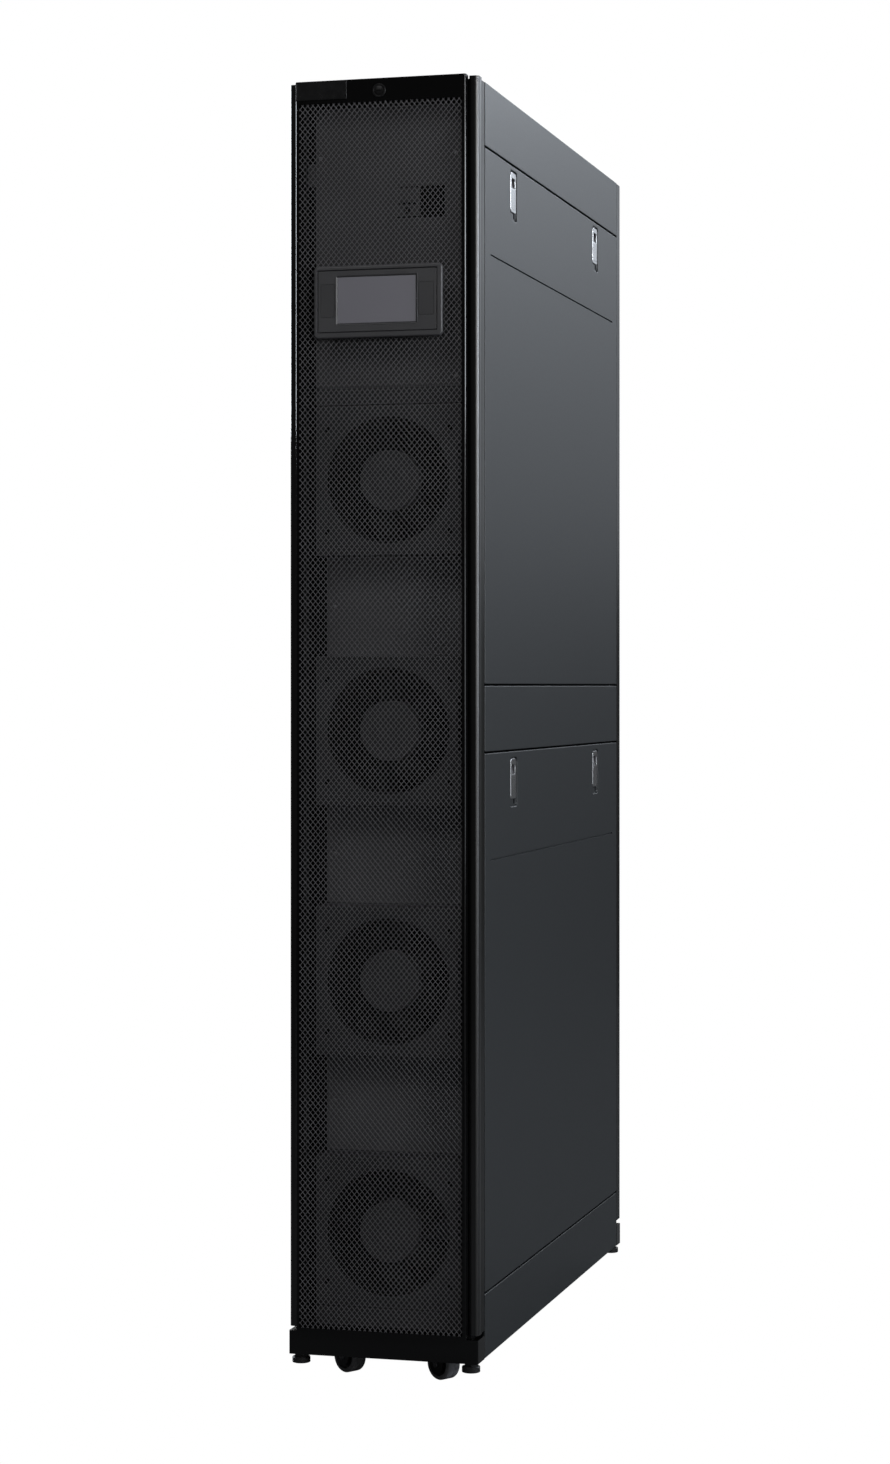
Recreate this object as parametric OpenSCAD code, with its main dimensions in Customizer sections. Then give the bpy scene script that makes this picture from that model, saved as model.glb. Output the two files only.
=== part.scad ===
// In row cooling unit: a narrow free-standing cabinet that stands between
// server racks. Air enters through the rear door, passes the filters and the
// water coil, and four fans blow it out through the mesh front door.
// +Z up, +X to the unit's right seen from the front, front door towards -Y.
// Origin: middle of the footprint, on the floor.

/* [Cabinet] */
// Overall width over the side panels
unit_w = 300; // [298:1:304]
// Overall height, floor to the top of the front frame
unit_h = 1991; // [1988:1:2000]
// Depth over the two door skins
door_to_door = 1081; // [1078:1:1100]
// Height of the floor clearance under the plinth
clear_z = 41; // [39:1:42]
// Height of the plinth
plinth_h = 36; // [34:1:37]
// Sheet thickness of covers and panels
sheet = 1.5; // [1.2:0.1:1.8]

/* [Side panels] */
// Height at which the fixed top side rail ends
top_rail_z = 1891; // [1880:1:1900]
// Height at which the fixed middle side rail starts
mid_rail_z0 = 966; // [960:1:970]
// Height at which the fixed middle side rail ends
mid_rail_z1 = 1067.5; // [1062:0.5:1072]
// Height at which the fixed bottom side rail ends
bottom_rail_z = 139; // [132:1:145]
// Gap around a removable side panel
panel_gap = 2; // [1.5:0.5:3]
// Depth of a side panel's folded edges
panel_t = 12; // [10:1:14]

/* [Panel latches] */
// Width of the latch recess
slot_w = 44; // [42:1:48]
// Height of the latch recess
slot_h = 78; // [74:1:82]
// Width of the sliding grip
slider_w = 34; // [30:1:38]
// Height of the sliding grip
slider_h = 63; // [58:1:64]
// Distance of each latch from the panel's middle
latch_y = 304; // [280:1:320]

/* [Fans] */
// Distance between fan centres
fan_pitch = 385; // [383:1:386]
// Height of the lowest fan's centre
fan_z1 = 228; // [226:1:230]
// Diameter of the fan opening
fan_d = 192; // [188:1:200]
// Diameter of the rotor hub
hub_d = 92; // [86:1:98]
// Number of blades
blades = 7; // [5:1:9]

/* [Casters and feet] */
// Diameter of a caster wheel
wheel_d = 50; // [48:1:52]
// Width of a caster wheel
wheel_w = 25; // [22:1:27]
// Distance of a swivel axis from the middle plane
caster_x = 67; // [60:1:80]
// Distance of a swivel axis from the middle, along the depth
caster_y = 449; // [430:1:455]
// Trail of the wheel behind the swivel axis
trail = 12; // [8:1:14]
// Distance of a levelling foot from the middle plane
foot_x = 135; // [134:0.5:136]
// Distance of a levelling foot from the middle, along the depth
foot_y = 510; // [508:1:511]
// Height of the foot's underside above the floor as stored
foot_z = 26; // [22:1:28]

/* [Door display] */
// Width of the display bezel
bezel_w = 203; // [198:1:208]
// Height of the display bezel
bezel_h = 110; // [104:1:114]
// Height of the display's middle
bezel_z = 1651.5; // [1640:0.5:1660]

/* [Hidden] */

w2 = unit_w / 2;            // outer side plane
yd = door_to_door / 2;      // door skin plane
yb = yd - 14;               // plinth face
yt = yd - 18.2;             // face of the front trims
trim_r = 6;                 // outer corner radius of the front trims
base_top = clear_z + plinth_h;
roof_z = unit_h - 2.5;      // top of the roof and the side rails
door_z0 = base_top + 3;
door_z1 = unit_h;
door_x = 134.5;             // half width of a door
door_t = 16;                // depth of a door
header_z = unit_h - 35;     // lower edge of the door header
mesh_x = 129;               // half width of the mesh
mesh_z0 = door_z0 + 5;
post_y0 = yt - 3.3;         // front face of a post
panel_y0 = 482;             // front edge of the side panels, towards -Y
panel_y1 = 493.2;           // rear edge of the side panels, towards +Y
panel_yc = (panel_y1 - panel_y0) / 2;
hinge_x = -130.5;           // door hinge axis
hinge_y = yd - 7;
lug_zs = [door_z0 + 25, unit_h - 25];
plate_y = -497;             // front face of the fan plates
plate_x = 116;              // half width of the fan plates
plate_h = 230;              // height of a fan plate
blank_y = -437;             // face of the blanking panels
lock_z = unit_h - 19;
pipe_x = -108;              // plane of the two water pipes
rail_in = w2 - 3.5;         // inner limit of the fixed rails

// A box given by its two corners
module bx(x0, x1, y0, y1, z0, z1)
    translate([x0, y0, z0]) cube([x1 - x0, y1 - y0, z1 - z0]);

// The shape and its mirror image across the middle plane
module pair() { children(); mirror([1, 0, 0]) children(); }

// A rectangle with round corners, in the XZ plane, from y0 to y1
module slab(w, h, r, y0, y1, xc = 0, zc = 0)
    translate([xc, y1, zc]) rotate([90, 0, 0]) linear_extrude(y1 - y0) round_rect(w, h, r);

module round_rect(w, h, r) {
    square([w - 2 * r, h], center = true);
    square([w, h - 2 * r], center = true);
    for (sx = [-1, 1], sy = [-1, 1])
        translate([sx * (w / 2 - r), sy * (h / 2 - r)]) circle(r = r, $fn = 40);
}

// A cylinder along +Y from y0 to y1
module cyl_y(r, y0, y1, xc = 0, zc = 0)
    translate([xc, y0, zc]) rotate([-90, 0, 0]) cylinder(r = r, h = y1 - y0, $fn = 72);

// ---------------------------------------------------------------- chassis

// Front post in plan, right side: a closed tube stepped out behind the trim
module front_post_plan() difference() {
    union() {
        translate([131, -post_y0]) square([w2 - 3 - 131, post_y0 - 485.5]);
        translate([145, -501.5]) square([w2 - 0.6 - 145, 16]);
    }
    translate([133, 2 - post_y0]) square([w2 - 5 - 133, post_y0 - 489.5]);
    translate([140, -499.5]) square([w2 - 2.1 - 140, 12]);
}

module rear_post_plan() difference() {
    translate([131, 495.3]) square([w2 - 0.4 - 131, 26.6]);
    translate([133, 497.3]) square([w2 - 2.4 - 133, 22.6]);
}

// Posts: narrow down to a foot on the floor pan, and end under the roof
module corner_posts() color([0.03, 0.03, 0.035]) pair() {
    front_post();
    rear_post();
}
module front_post() difference() {
    union() {
        translate([0, 0, base_top + 7]) linear_extrude(roof_z - sheet - base_top - 7) front_post_plan();
        bx(131, 138, -post_y0, -487.5, 66, base_top + 8);
    }
    foot_bores();
}
module rear_post() difference() {
    union() {
        translate([0, 0, base_top + 10]) linear_extrude(roof_z - sheet - base_top - 10) rear_post_plan();
        bx(131, 139, 499, 519, 66, base_top + 12);
    }
    foot_bores();
}
module foot_bores() for (s = [-1, 1]) translate([foot_x, s * foot_y, 40]) cylinder(r = 5.05, h = 60, $fn = 64);

module floor_pan() color([0.03, 0.03, 0.035]) difference() {
    union() {
        bx(-134, 134, -519, 519, 63, 66);
        bx(-134, 134, -519, -517, 43, 66);
        bx(-134, 134, 517, 519, 43, 66);
        pair() {
            // sides, which carry the bottom rails
            bx(w2 - 5.5, w2 - 3.5, -485.5, 495.3, 43, bottom_rail_z - 1);
            bx(133, w2 - 3.5, -485.5, 495.3, 63, 66);
            // bosses for the caster stems and the feet
            for (s = [-1, 1]) {
                translate([caster_x, s * caster_y, 60]) cylinder(r = 14, h = 20, $fn = 64);
                translate([foot_x - 2, s * foot_y, 50]) cylinder(r = 9, h = 16, $fn = 64);
            }
        }
    }
    pair() for (s = [-1, 1]) translate([caster_x, s * caster_y, 50]) cylinder(r = 6.05, h = 26, $fn = 64);
    pair() foot_bores();
    // drain and cable hole
    translate([0, 330, 60]) cylinder(r = 30, h = 10, $fn = 72);
}

// Bars between the posts, channels for the fan modules and the filters, and
// strips that close the gaps between the rails and the side panels to light
module frame_bars() color([0.03, 0.03, 0.035]) {
    pair() {
        bx(w2 - 5.5, w2 - 3.5, -485.5, 495.3, mid_rail_z0 + 4, mid_rail_z1 - 4);
        bx(w2 - 5.5, w2 - 3.5, -485.5, 495.3, top_rail_z + 4, roof_z - sheet);
        bx(plate_x, 131, blank_y - 3, blank_y, 66, roof_z - sheet);
        bx(119, 131, 449, 452, 66, roof_z - sheet);
        bx(119, 131, 483, 486, 66, roof_z - sheet);
        for (z = [bottom_rail_z, mid_rail_z0 - 2, mid_rail_z1, top_rail_z - 2])
            bx(w2 - 15.5, w2 - 12.5, -485.5, 495.3, z - 12, z + 14);
        // rest under the lower filter, clear of the caster bosses
        bx(110, 131, 455, 480, 66, 81);
    }
    bx(-109.5, 109.5, 466, 469, 66, 81);
    // top bars
    for (m = [0, 1]) mirror([0, m, 0]) bx(-131, 131, -post_y0, -500, roof_z - sheet - 3, roof_z - sheet);
}

// Hinge lugs on the left posts, each with its pin, and the lock keepers
module hinge_lug(face) {
    bx(hinge_x - 3, hinge_x + 3, -hinge_y, -face, 0, 4);
    bx(-131, hinge_x + 3, -face - 1, -490, 0, 4);
    translate([hinge_x, -hinge_y, 0]) cylinder(r = 3.8, h = 4, $fn = 48);
    translate([hinge_x, -hinge_y, 3]) cylinder(r = 2, h = 11, $fn = 48);
}
module door_fittings() color([0.05, 0.05, 0.055]) {
    for (z = lug_zs) translate([0, 0, z]) {
        hinge_lug(post_y0);
        mirror([0, 1, 0]) hinge_lug(521.9);
    }
    // keepers under the top bars, behind which the lock cams turn
    for (m = [0, 1]) mirror([0, m, 0]) bx(-40, 40, -post_y0, 2 - post_y0, roof_z - sheet - 8, roof_z - sheet - 3);
}

module cover_half() {
    difference() {
        union() {
            // face with round outer corners
            translate([0, 0, clear_z]) linear_extrude(plinth_h) difference() {
                union() {
                    translate([-w2, -yb + 3]) square([unit_w, yb - 3 - 485.5]);
                    translate([-w2 + 3, -yb]) square([unit_w - 6, 3.1]);
                    for (s = [-1, 1]) translate([s * (w2 - 3), -yb + 3]) circle(r = 3, $fn = 40);
                }
                translate([-w2 + sheet, -yb + sheet]) square([unit_w - 2 * sheet, yb]);
            }
            // top ledge
            bx(-w2 + 1, w2 - 1, -yb + 1, -519, base_top - sheet, base_top);
            pair() bx(141, w2 - 1, -520, -485.5, base_top - sheet, base_top);
        }
    }
}

module base_covers() color([0.03, 0.03, 0.035]) {
    cover_half();
    // rear cover, cut shorter along the sides
    difference() {
        mirror([0, 1, 0]) cover_half();
        bx(-w2 - 1, w2 + 1, 480, 495.3, 0, 200);
    }
}

// Front trim in plan, right side, with its round outer corner
module trim_plan() {
    translate([135.5, -yt + trim_r]) square([w2 - 135.5, yt - trim_r - 503.8]);
    translate([135.5, -yt]) square([w2 - trim_r - 135.5, trim_r + 1]);
    translate([w2 - trim_r, -yt + trim_r]) circle(r = trim_r, $fn = 80);
}

module front_trims() color([0.04, 0.04, 0.045]) pair() {
    translate([0, 0, base_top + 6]) linear_extrude(unit_h - base_top - 6 - sheet) difference() {
        trim_plan();
        translate([137, -yt + sheet]) square([w2 - trim_r - 137, 40]);
        translate([w2 - trim_r, -yt + trim_r]) circle(r = trim_r - sheet, $fn = 40);
        translate([w2 - trim_r - 1, -yt + trim_r]) square([trim_r + 1 - sheet, 40]);
        translate([135, -yt + 3.3]) square([w2 - trim_r - 135, 40]);
    }
    // cap
    translate([0, 0, unit_h - sheet - 0.1]) linear_extrude(sheet + 0.1) trim_plan();
}

module roof_panel() color([0.06, 0.065, 0.07]) difference() {
    union() {
        bx(-w2 + 1.7, w2 - 1.7, -503.4, 521.9, roof_z - sheet, roof_z);
        // raised collars around the two hose openings
        for (y = [200, 330]) translate([pipe_x, y, roof_z - 6]) cylinder(r = 32.5, h = 6, $fn = 72);
    }
    for (y = [200, 330]) translate([pipe_x, y, roof_z - 10]) cylinder(r = 31, h = 20, $fn = 72);
    // cable openings
    bx(-20, 100, 300, 370, roof_z - 10, roof_z + 10);
    bx(-60, 60, -440, -390, roof_z - 10, roof_z + 10);
    // joining bracket holes near the corners
    for (x = [-120, 120], y = [-460, 460]) translate([x, y, roof_z - 10]) cylinder(r = 4.25, h = 20, $fn = 48);
}

// ---------------------------------------------------------------- fixed side rails

// Skin with folded edges, right side
module rail(z0, z1, lo = true, hi = true) {
    bx(w2 - sheet, w2, -panel_y0, panel_y1, z0, z1);
    if (lo) bx(rail_in, w2, -panel_y0, panel_y1, z0, z0 + sheet);
    if (hi) bx(rail_in, w2, -panel_y0, panel_y1, z1 - sheet, z1);
    bx(rail_in, w2, -panel_y0, -panel_y0 + sheet, z0, z1);
    bx(rail_in, w2, panel_y1 - sheet, panel_y1, z0, z1);
}

module top_rails() color([0.30, 0.31, 0.33]) pair() difference() {
    rail(top_rail_z, roof_z, true, false);
    // folded ends stop under the roof sheet
    bx(100, w2 - 1.6, -500, 500, roof_z - sheet, roof_z + 1);
}
module mid_rails() color([0.30, 0.31, 0.33]) pair() rail(mid_rail_z0, mid_rail_z1);
module bottom_rails() color([0.30, 0.31, 0.33]) pair() rail(clear_z, bottom_rail_z, false, true);

// ---------------------------------------------------------------- removable side panels

// Right side panel between z0 and z1, with two latch recesses and a pressed groove
module side_panel(z0, z1, latch_z, crease_z) {
    difference() {
        union() {
            bx(w2 - sheet, w2, -panel_y0, panel_y1, z0, z1);
            for (z = [z0, z1 - sheet]) bx(w2 - panel_t, w2, -panel_y0, panel_y1, z, z + sheet);
            bx(w2 - panel_t, w2, -panel_y0, -panel_y0 + sheet, z0, z1);
            bx(w2 - panel_t, w2, panel_y1 - sheet, panel_y1, z0, z1);
            // latch recesses
            for (s = [-1, 1]) translate([w2 - 5, panel_yc + s * latch_y, latch_z])
                rotate([90, 0, 90]) linear_extrude(4) round_rect(slot_w + 6, slot_h + 6, 9);
        }
        for (s = [-1, 1]) translate([0, panel_yc + s * latch_y, latch_z]) {
            translate([w2 - 2.8, 0, 0]) rotate([90, 0, 90]) linear_extrude(20) round_rect(slot_w, slot_h, 6);
            // slot in which the grip's block runs
            bx(w2 - 10, w2 - 2, -10, 10, -30.5, 36);
        }
        bx(w2 - 0.7, w2 + 1, -panel_y0 + 35, panel_y1 - 38, crease_z - 1, crease_z + 1);
    }
}

upper_latch_z = 1842.3;
lower_latch_z = 915.2;
module upper_panel() side_panel(mid_rail_z1 + panel_gap, top_rail_z - panel_gap, upper_latch_z, 1729);
module lower_panel() side_panel(bottom_rail_z + panel_gap, mid_rail_z0 - panel_gap, lower_latch_z, 799.3);

module side_panel_upper_right() color([0.30, 0.31, 0.33]) upper_panel();
module side_panel_lower_right() color([0.30, 0.31, 0.33]) lower_panel();
module side_panel_upper_left() color([0.30, 0.31, 0.33]) mirror([1, 0, 0]) upper_panel();
module side_panel_lower_left() color([0.30, 0.31, 0.33]) mirror([1, 0, 0]) lower_panel();

// Sliding latch grip: rounded plate with a finger window and a raised rib
module latch(s, lz) {
    zc = lz + slot_h / 2 - 2.5 - slider_h / 2;
    translate([w2, panel_yc + s * latch_y, zc]) difference() {
        union() {
            translate([-2.6, 0, 0]) rotate([90, 0, 90]) linear_extrude(2) round_rect(slider_w, slider_h, 5);
            translate([-11.2, -9, -24]) cube([9, 18, 48]);
        }
        translate([-7, 0, slider_h / 2 - 17]) rotate([90, 0, 90]) linear_extrude(12) round_rect(23, 16, 3);
        translate([-1.2, 0, -10]) rotate([90, 0, 90]) linear_extrude(9) round_rect(24, 32, 3);
    }
}

module latch_upper_right_front() color("silver") latch(-1, upper_latch_z);
module latch_upper_right_rear() color("silver") latch(1, upper_latch_z);
module latch_lower_right_front() color("silver") latch(-1, lower_latch_z);
module latch_lower_right_rear() color("silver") latch(1, lower_latch_z);
module latch_upper_left_front() color("silver") mirror([1, 0, 0]) latch(-1, upper_latch_z);
module latch_upper_left_rear() color("silver") mirror([1, 0, 0]) latch(1, upper_latch_z);
module latch_lower_left_front() color("silver") mirror([1, 0, 0]) latch(-1, lower_latch_z);
module latch_lower_left_rear() color("silver") mirror([1, 0, 0]) latch(1, lower_latch_z);

// ---------------------------------------------------------------- fans

module at_fan(n) translate([0, 0, fan_z1 + (n - 1) * fan_pitch]) children();

// Four box-shaped fan modules, each with its duct ring and motor carrier
module fan_plates() color([0.16, 0.16, 0.17]) for (n = [1:4]) at_fan(n) {
    difference() {
        union() {
            bx(-plate_x, plate_x, plate_y, plate_y + sheet, -plate_h / 2, plate_h / 2);
            pair() bx(plate_x - sheet, plate_x, plate_y, blank_y, -plate_h / 2, plate_h / 2);
            for (z = [-plate_h / 2, plate_h / 2 - sheet]) bx(-plate_x, plate_x, plate_y, blank_y, z, z + sheet);
            cyl_y(fan_d / 2 + 2, plate_y, blank_y);
        }
        cyl_y(fan_d / 2, plate_y - 5, blank_y + 5);
        for (x = [-98, 98], z = [-79, 79]) cyl_y(2.6, plate_y - 5, plate_y + 5, x, z);
    }
    // carrier struts behind the rotor
    for (a = [45, 135]) difference() {
        rotate([0, a, 0]) bx(-fan_d / 2 - 1, fan_d / 2 + 1, blank_y - 5, blank_y, -4, 4);
        cyl_y(30, blank_y - 20, blank_y + 10);
    }
    difference() {
        cyl_y(34, blank_y - 5, blank_y);
        cyl_y(29.8, blank_y - 9, blank_y + 9);
    }
}

// Stators of the four motors, each with its fixed shaft
module fan_motors() color([0.25, 0.25, 0.27]) for (n = [1:4]) at_fan(n) {
    cyl_y(29.9, -463, blank_y + 2);
    cyl_y(4, -488, -460);
}

// Rotor: hub cup, central bush and pitched blades
module fan_rotor(n) color([0.14, 0.14, 0.15]) at_fan(n) {
    difference() {
        union() {
            cyl_y(hub_d / 2, -492, -447);
            intersection() {
                for (i = [0:blades - 1]) rotate([0, i * 360 / blades, 0])
                    translate([hub_d / 2 - 4, -467, 0]) rotate([52, 0, 0]) translate([0, -30, -1.5]) cube([fan_d, 60, 3]);
                difference() {
                    cyl_y(fan_d / 2 - 3, -485, -449);
                    cyl_y(hub_d / 2 - 2, -490, -440);
                }
            }
        }
        cyl_y(hub_d / 2 - 3, -489.5, -440);
    }
    difference() {
        cyl_y(9, -490, -472);
        cyl_y(4.05, -488.3, -465);
    }
}
module fan_rotor_1() fan_rotor(1);
module fan_rotor_2() fan_rotor(2);
module fan_rotor_3() fan_rotor(3);
module fan_rotor_4() fan_rotor(4);

plate_lo = fan_z1 - plate_h / 2;                     // bottom of the lowest plate
plate_hi = fan_z1 + 3 * fan_pitch + plate_h / 2;     // top of the highest plate

module blanking_panels() color([0.18, 0.18, 0.19]) {
    for (n = [1:3]) at_fan(n) {
        z0 = plate_h / 2 + 0.8;
        z1 = fan_pitch - plate_h / 2 - 0.8;
        bx(-plate_x, plate_x, blank_y, blank_y + sheet, z0, z1);
        for (z = [z0, z1 - sheet]) bx(-plate_x, plate_x, blank_y, blank_y + 12, z, z + sheet);
    }
    // sill under the lowest fan and bar over the highest one
    bx(-plate_x, plate_x, plate_y, plate_y + sheet, 67, plate_lo - 1.2);
    bx(-plate_x, plate_x, plate_y, plate_y + 12, plate_lo - 1.2 - sheet, plate_lo - 1.2);
    bx(-plate_x, plate_x, plate_y, plate_y + sheet, plate_hi + 2, plate_hi + 27);
    bx(-plate_x, plate_x, plate_y, plate_y + 12, plate_hi + 2, plate_hi + 2 + sheet);
}

// ---------------------------------------------------------------- electrics

box_z0 = plate_hi + 29;
box_z1 = unit_h - 36;
module electrical_box() color([0.18, 0.18, 0.19]) difference() {
    union() {
        difference() {
            bx(-plate_x, plate_x, plate_y, -330, box_z0, box_z1);
            bx(-plate_x + sheet, plate_x - sheet, plate_y + sheet, -330 - sheet, box_z0 + sheet, box_z1 - sheet);
        }
        // shelf under the power modules
        bx(-plate_x + 1, plate_x - 1, plate_y + 1, -340, 1781, 1783);
    }
    // bays for the two power modules, a cable gland hole and vents at the back
    bx(14, 91, plate_y - 5, plate_y + sheet, 1783, 1832.5);
    cyl_y(10.2, -340, -320, 60, 1900);
    for (i = [0:5]) bx(-80, 20, -340, -320, box_z0 + 60 + i * 14, box_z0 + 66 + i * 14);
}

module power_modules() color([0.10, 0.10, 0.11]) difference() {
    union() {
        bx(14.6, 50, plate_y - 0.4, -345, 1783, 1832);
        bx(51, 90.4, plate_y - 0.4, -345, 1783, 1832);
    }
    // air slots of the vented module
    for (i = [0:4]) bx(54, 87.4, plate_y - 2, plate_y + 6, 1787 + i * 9, 1792 + i * 9);
}

// ---------------------------------------------------------------- water side

coil_z0 = 196;
coil_z1 = 1880;
rows = 10;
module cooling_coil() {
    step = (coil_z1 - coil_z0) / rows;
    color([0.75, 0.76, 0.78]) {
        bx(-93, 83, -150, -40, coil_z0, coil_z1);
        // end plates stand on the floor pan
        bx(-95, -93, -152, -38, 66, coil_z1 + 4);
        bx(83, 85, -152, -38, 66, coil_z1 + 4);
    }
    color([0.72, 0.42, 0.26]) for (i = [0:rows - 1]) translate([0, 0, coil_z0 + (i + 0.5) * step]) {
        for (z = [-19, 19]) translate([84.5, -70, z]) rotate([0, 90, 0]) cylinder(r = 6, h = 4.5, $fn = 32);
        translate([89, -70, 0]) rotate([90, 0, 0]) rotate([0, 0, -90])
            rotate_extrude(angle = 180, $fn = 64) translate([19, 0]) circle(r = 6, $fn = 32);
        // stubs to the two headers
        translate([-110, -70, -19]) rotate([0, 90, 0]) cylinder(r = 5, h = 16, $fn = 32);
        translate([-110, -120, 19]) rotate([0, 90, 0]) cylinder(r = 5, h = 16, $fn = 32);
    }
    // headers
    color([0.72, 0.42, 0.26]) {
        translate([-109, -70, 215]) cylinder(r = 11, h = 1575, $fn = 48);
        translate([-109, -120, 280]) cylinder(r = 11, h = 1590, $fn = 48);
    }
}

// Pipe run from a header to a threaded end under the roof
module run(y0, z0, y1, z_end) {
    difference() {
        union() {
            translate([pipe_x, y0, z0]) rotate([-90, 0, 0]) cylinder(r = 11.5, h = y1 - y0, $fn = 48);
            translate([pipe_x, y1, z0]) sphere(r = 11.5, $fn = 48);
            translate([pipe_x, y1, z0]) cylinder(r = 11.5, h = z_end - z0, $fn = 48);
        }
        children();
    }
}
conn_z = 1958;
module socket(y) {
    difference() {
        translate([pipe_x, y, conn_z - 32]) cylinder(r = 21, h = 32, $fn = 64);
        translate([pipe_x, y, conn_z - 20]) cylinder(r = 15.2, h = 21, $fn = 64);
        translate([pipe_x, y, conn_z - 33]) cylinder(r = 9, h = 34, $fn = 64);
    }
}
module supply_pipe() color([0.72, 0.42, 0.26]) {
    run(-70, 240, 330, conn_z - 31) translate([-109, -70, 0]) cylinder(r = 10.5, h = 1900, $fn = 48);
    socket(330);
}
module return_pipe() color([0.72, 0.42, 0.26]) {
    // header to valve, and valve to the threaded end
    difference() {
        translate([pipe_x, -120, 1835]) rotate([-90, 0, 0]) cylinder(r = 11.5, h = 295, $fn = 48);
        translate([-109, -120, 1700]) cylinder(r = 10.5, h = 200, $fn = 48);
    }
    translate([pipe_x, 200, 1855]) cylinder(r = 11.5, h = conn_z - 31 - 1855, $fn = 48);
    socket(200);
}
module control_valve() color([0.72, 0.60, 0.30]) {
    bx(-126, -90, 175, 222, 1817, 1855);
    translate([-90, 200, 1836]) rotate([0, 90, 0]) cylinder(r = 9, h = 16, $fn = 48);
}
module valve_actuator() color([0.55, 0.56, 0.58]) difference() {
    bx(-74, -18, 165, 235, 1800, 1872);
    for (s = [0, 1]) bx(-60 + 20 * s, -52 + 20 * s, 160, 170, 1810, 1862);
}

module drain_pan() color([0.60, 0.61, 0.63]) {
    difference() {
        bx(-92, 82, -170, 10, 160, 188);
        bx(-90, 80, -168, 8, 162, 200);
        translate([0, -10, 150]) cylinder(r = 7, h = 30, $fn = 48);
    }
    // the pan hangs on two cleats from the coil's end plates
    bx(-93, -91, -150, -40, 164, 186);
    bx(81, 83, -150, -40, 164, 186);
    difference() {
        translate([0, -10, 128]) cylinder(r = 9, h = 32.5, $fn = 48);
        translate([0, -10, 120]) cylinder(r = 7, h = 50, $fn = 48);
    }
}

module condensate_pump() color([0.12, 0.12, 0.13]) {
    difference() {
        bx(-55, 55, -30, 130, 66, 126);
        bx(-53, 53, -28, 60, 69, 130);
    }
    bx(-54, 54, 58, 130, 120, 127);
    translate([0, 95, 126]) cylinder(r = 26, h = 46, $fn = 64);
    translate([38, 112, 126]) cylinder(r = 6, h = 22, $fn = 48);
}

module air_filters() color([0.80, 0.80, 0.76]) for (z = [81.1, 1015.9]) difference() {
    bx(-128.5, 128.5, 452.3, 482.7, z, z + 934.4);
    for (y = [440, 479]) bx(-104, 104, y, y + 16, z + 14, z + 920.4);
}

// ---------------------------------------------------------------- doors

// Folded door frame, front door orientation; the rear one is its mirror image
module door_frame() {
    difference() {
        translate([0, 0, door_z0]) linear_extrude(door_z1 - door_z0) union() {
            translate([-door_x, -yd + 2.5]) square([2 * door_x, door_t - 2.5]);
            translate([-door_x + 2.5, -yd]) square([2 * door_x - 5, 3]);
            for (s = [-1, 1]) translate([s * (door_x - 2.5), -yd + 2.5]) circle(r = 2.5, $fn = 40);
        }
        // hollow, open at the back inside a return lip
        bx(-door_x + sheet, door_x - sheet, -yd + sheet, -yd + door_t - sheet, door_z0 + sheet, door_z1 - sheet);
        bx(-door_x + 9, door_x - 9, -yd + door_t - 5, -yd + door_t + 1, door_z0 + 9, door_z1 - 9);
        // mesh opening
        bx(-mesh_x, mesh_x, -yd - 1, -yd + 5, mesh_z0, header_z);
        // notches for the hinge lugs
        for (z = lug_zs) bx(-140, -121, -yd + sheet, -yd + door_t + 1, z - 2, z + 4.3);
        // lock bore
        cyl_y(8.3, -yd - 1, -yd + 8, -1.6, lock_z);
    }
    // hinge bosses
    for (z = lug_zs) difference() {
        bx(hinge_x - 3, hinge_x + 5, -hinge_y - 4, -hinge_y + 4, z + 4.3, z + 16);
        translate([hinge_x, -hinge_y, z]) cylinder(r = 2.05, h = 20, $fn = 48);
    }
}

module mesh_slab() bx(-mesh_x, mesh_x, -yd + 0.2, -yd + 1.3, mesh_z0, header_z);

module front_door_frame() color([0.04, 0.04, 0.045]) door_frame();
module front_door_mesh() color([0.20, 0.20, 0.21]) difference() {
    mesh_slab();
    // cut-out behind the display
    bx(-2 - bezel_w / 2 + 8, -2 + bezel_w / 2 - 8, -yd - 1, -yd + 5, bezel_z - bezel_h / 2 + 8, bezel_z + bezel_h / 2 - 8);
}
module badge_plate() color([0.08, 0.08, 0.085]) slab(81.5, 29.5, 1, -yd - 1.8, -yd, -93.6, unit_h - 14.9);

// Spindle and cam of a lock; turned up, the cam stands behind the keeper lip
module lock_cam() {
    cyl_y(5, -yd + door_t - 1, -514, -1.6, lock_z);
    translate([-1.6, -516.5, lock_z]) rotate([-90, 0, 0]) linear_extrude(2.5) {
        circle(r = 6.5, $fn = 48);
        translate([0, -3.5]) square([8, 7]);
        translate([8, 0]) circle(r = 3.5, $fn = 40);
    }
}

// Round key lock with a cam behind the header
module front_door_lock() color([0.09, 0.09, 0.10]) difference() {
    union() {
        cyl_y(10.8, -yd - 2, -yd - 0.2, -1.6, lock_z);
        cyl_y(8, -yd - 1, -yd + door_t, -1.6, lock_z);
        lock_cam();
    }
    bx(-6.1, 2.9, -yd - 5, -yd + 2, lock_z - 0.8, lock_z + 0.8);
}

// Display: bezel with a shallow housing behind, and the touch screen in it
module display_bezel() color([0.20, 0.20, 0.21]) difference() {
    union() {
        slab(bezel_w, bezel_h, 7, -yd - 7, -yd, -2, bezel_z);
        bx(-2 - bezel_w / 2 + 8.3, -2 + bezel_w / 2 - 8.3, -yd - 0.5, -yd + 12.5, bezel_z - bezel_h / 2 + 8.3, bezel_z + bezel_h / 2 - 8.3);
    }
    // recessed field, screen seat and hollow housing
    slab(189, 95, 4, -yd - 9, -yd - 6, -3, bezel_z + 1);
    slab(123.6, 70.6, 1.5, -yd - 9, -yd - 3.2, -4, bezel_z + 2.5);
    bx(-2 - bezel_w / 2 + 10.3, -2 + bezel_w / 2 - 10.3, -yd, -yd + 15, bezel_z - bezel_h / 2 + 10.3, bezel_z + bezel_h / 2 - 10.3);
}
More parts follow.
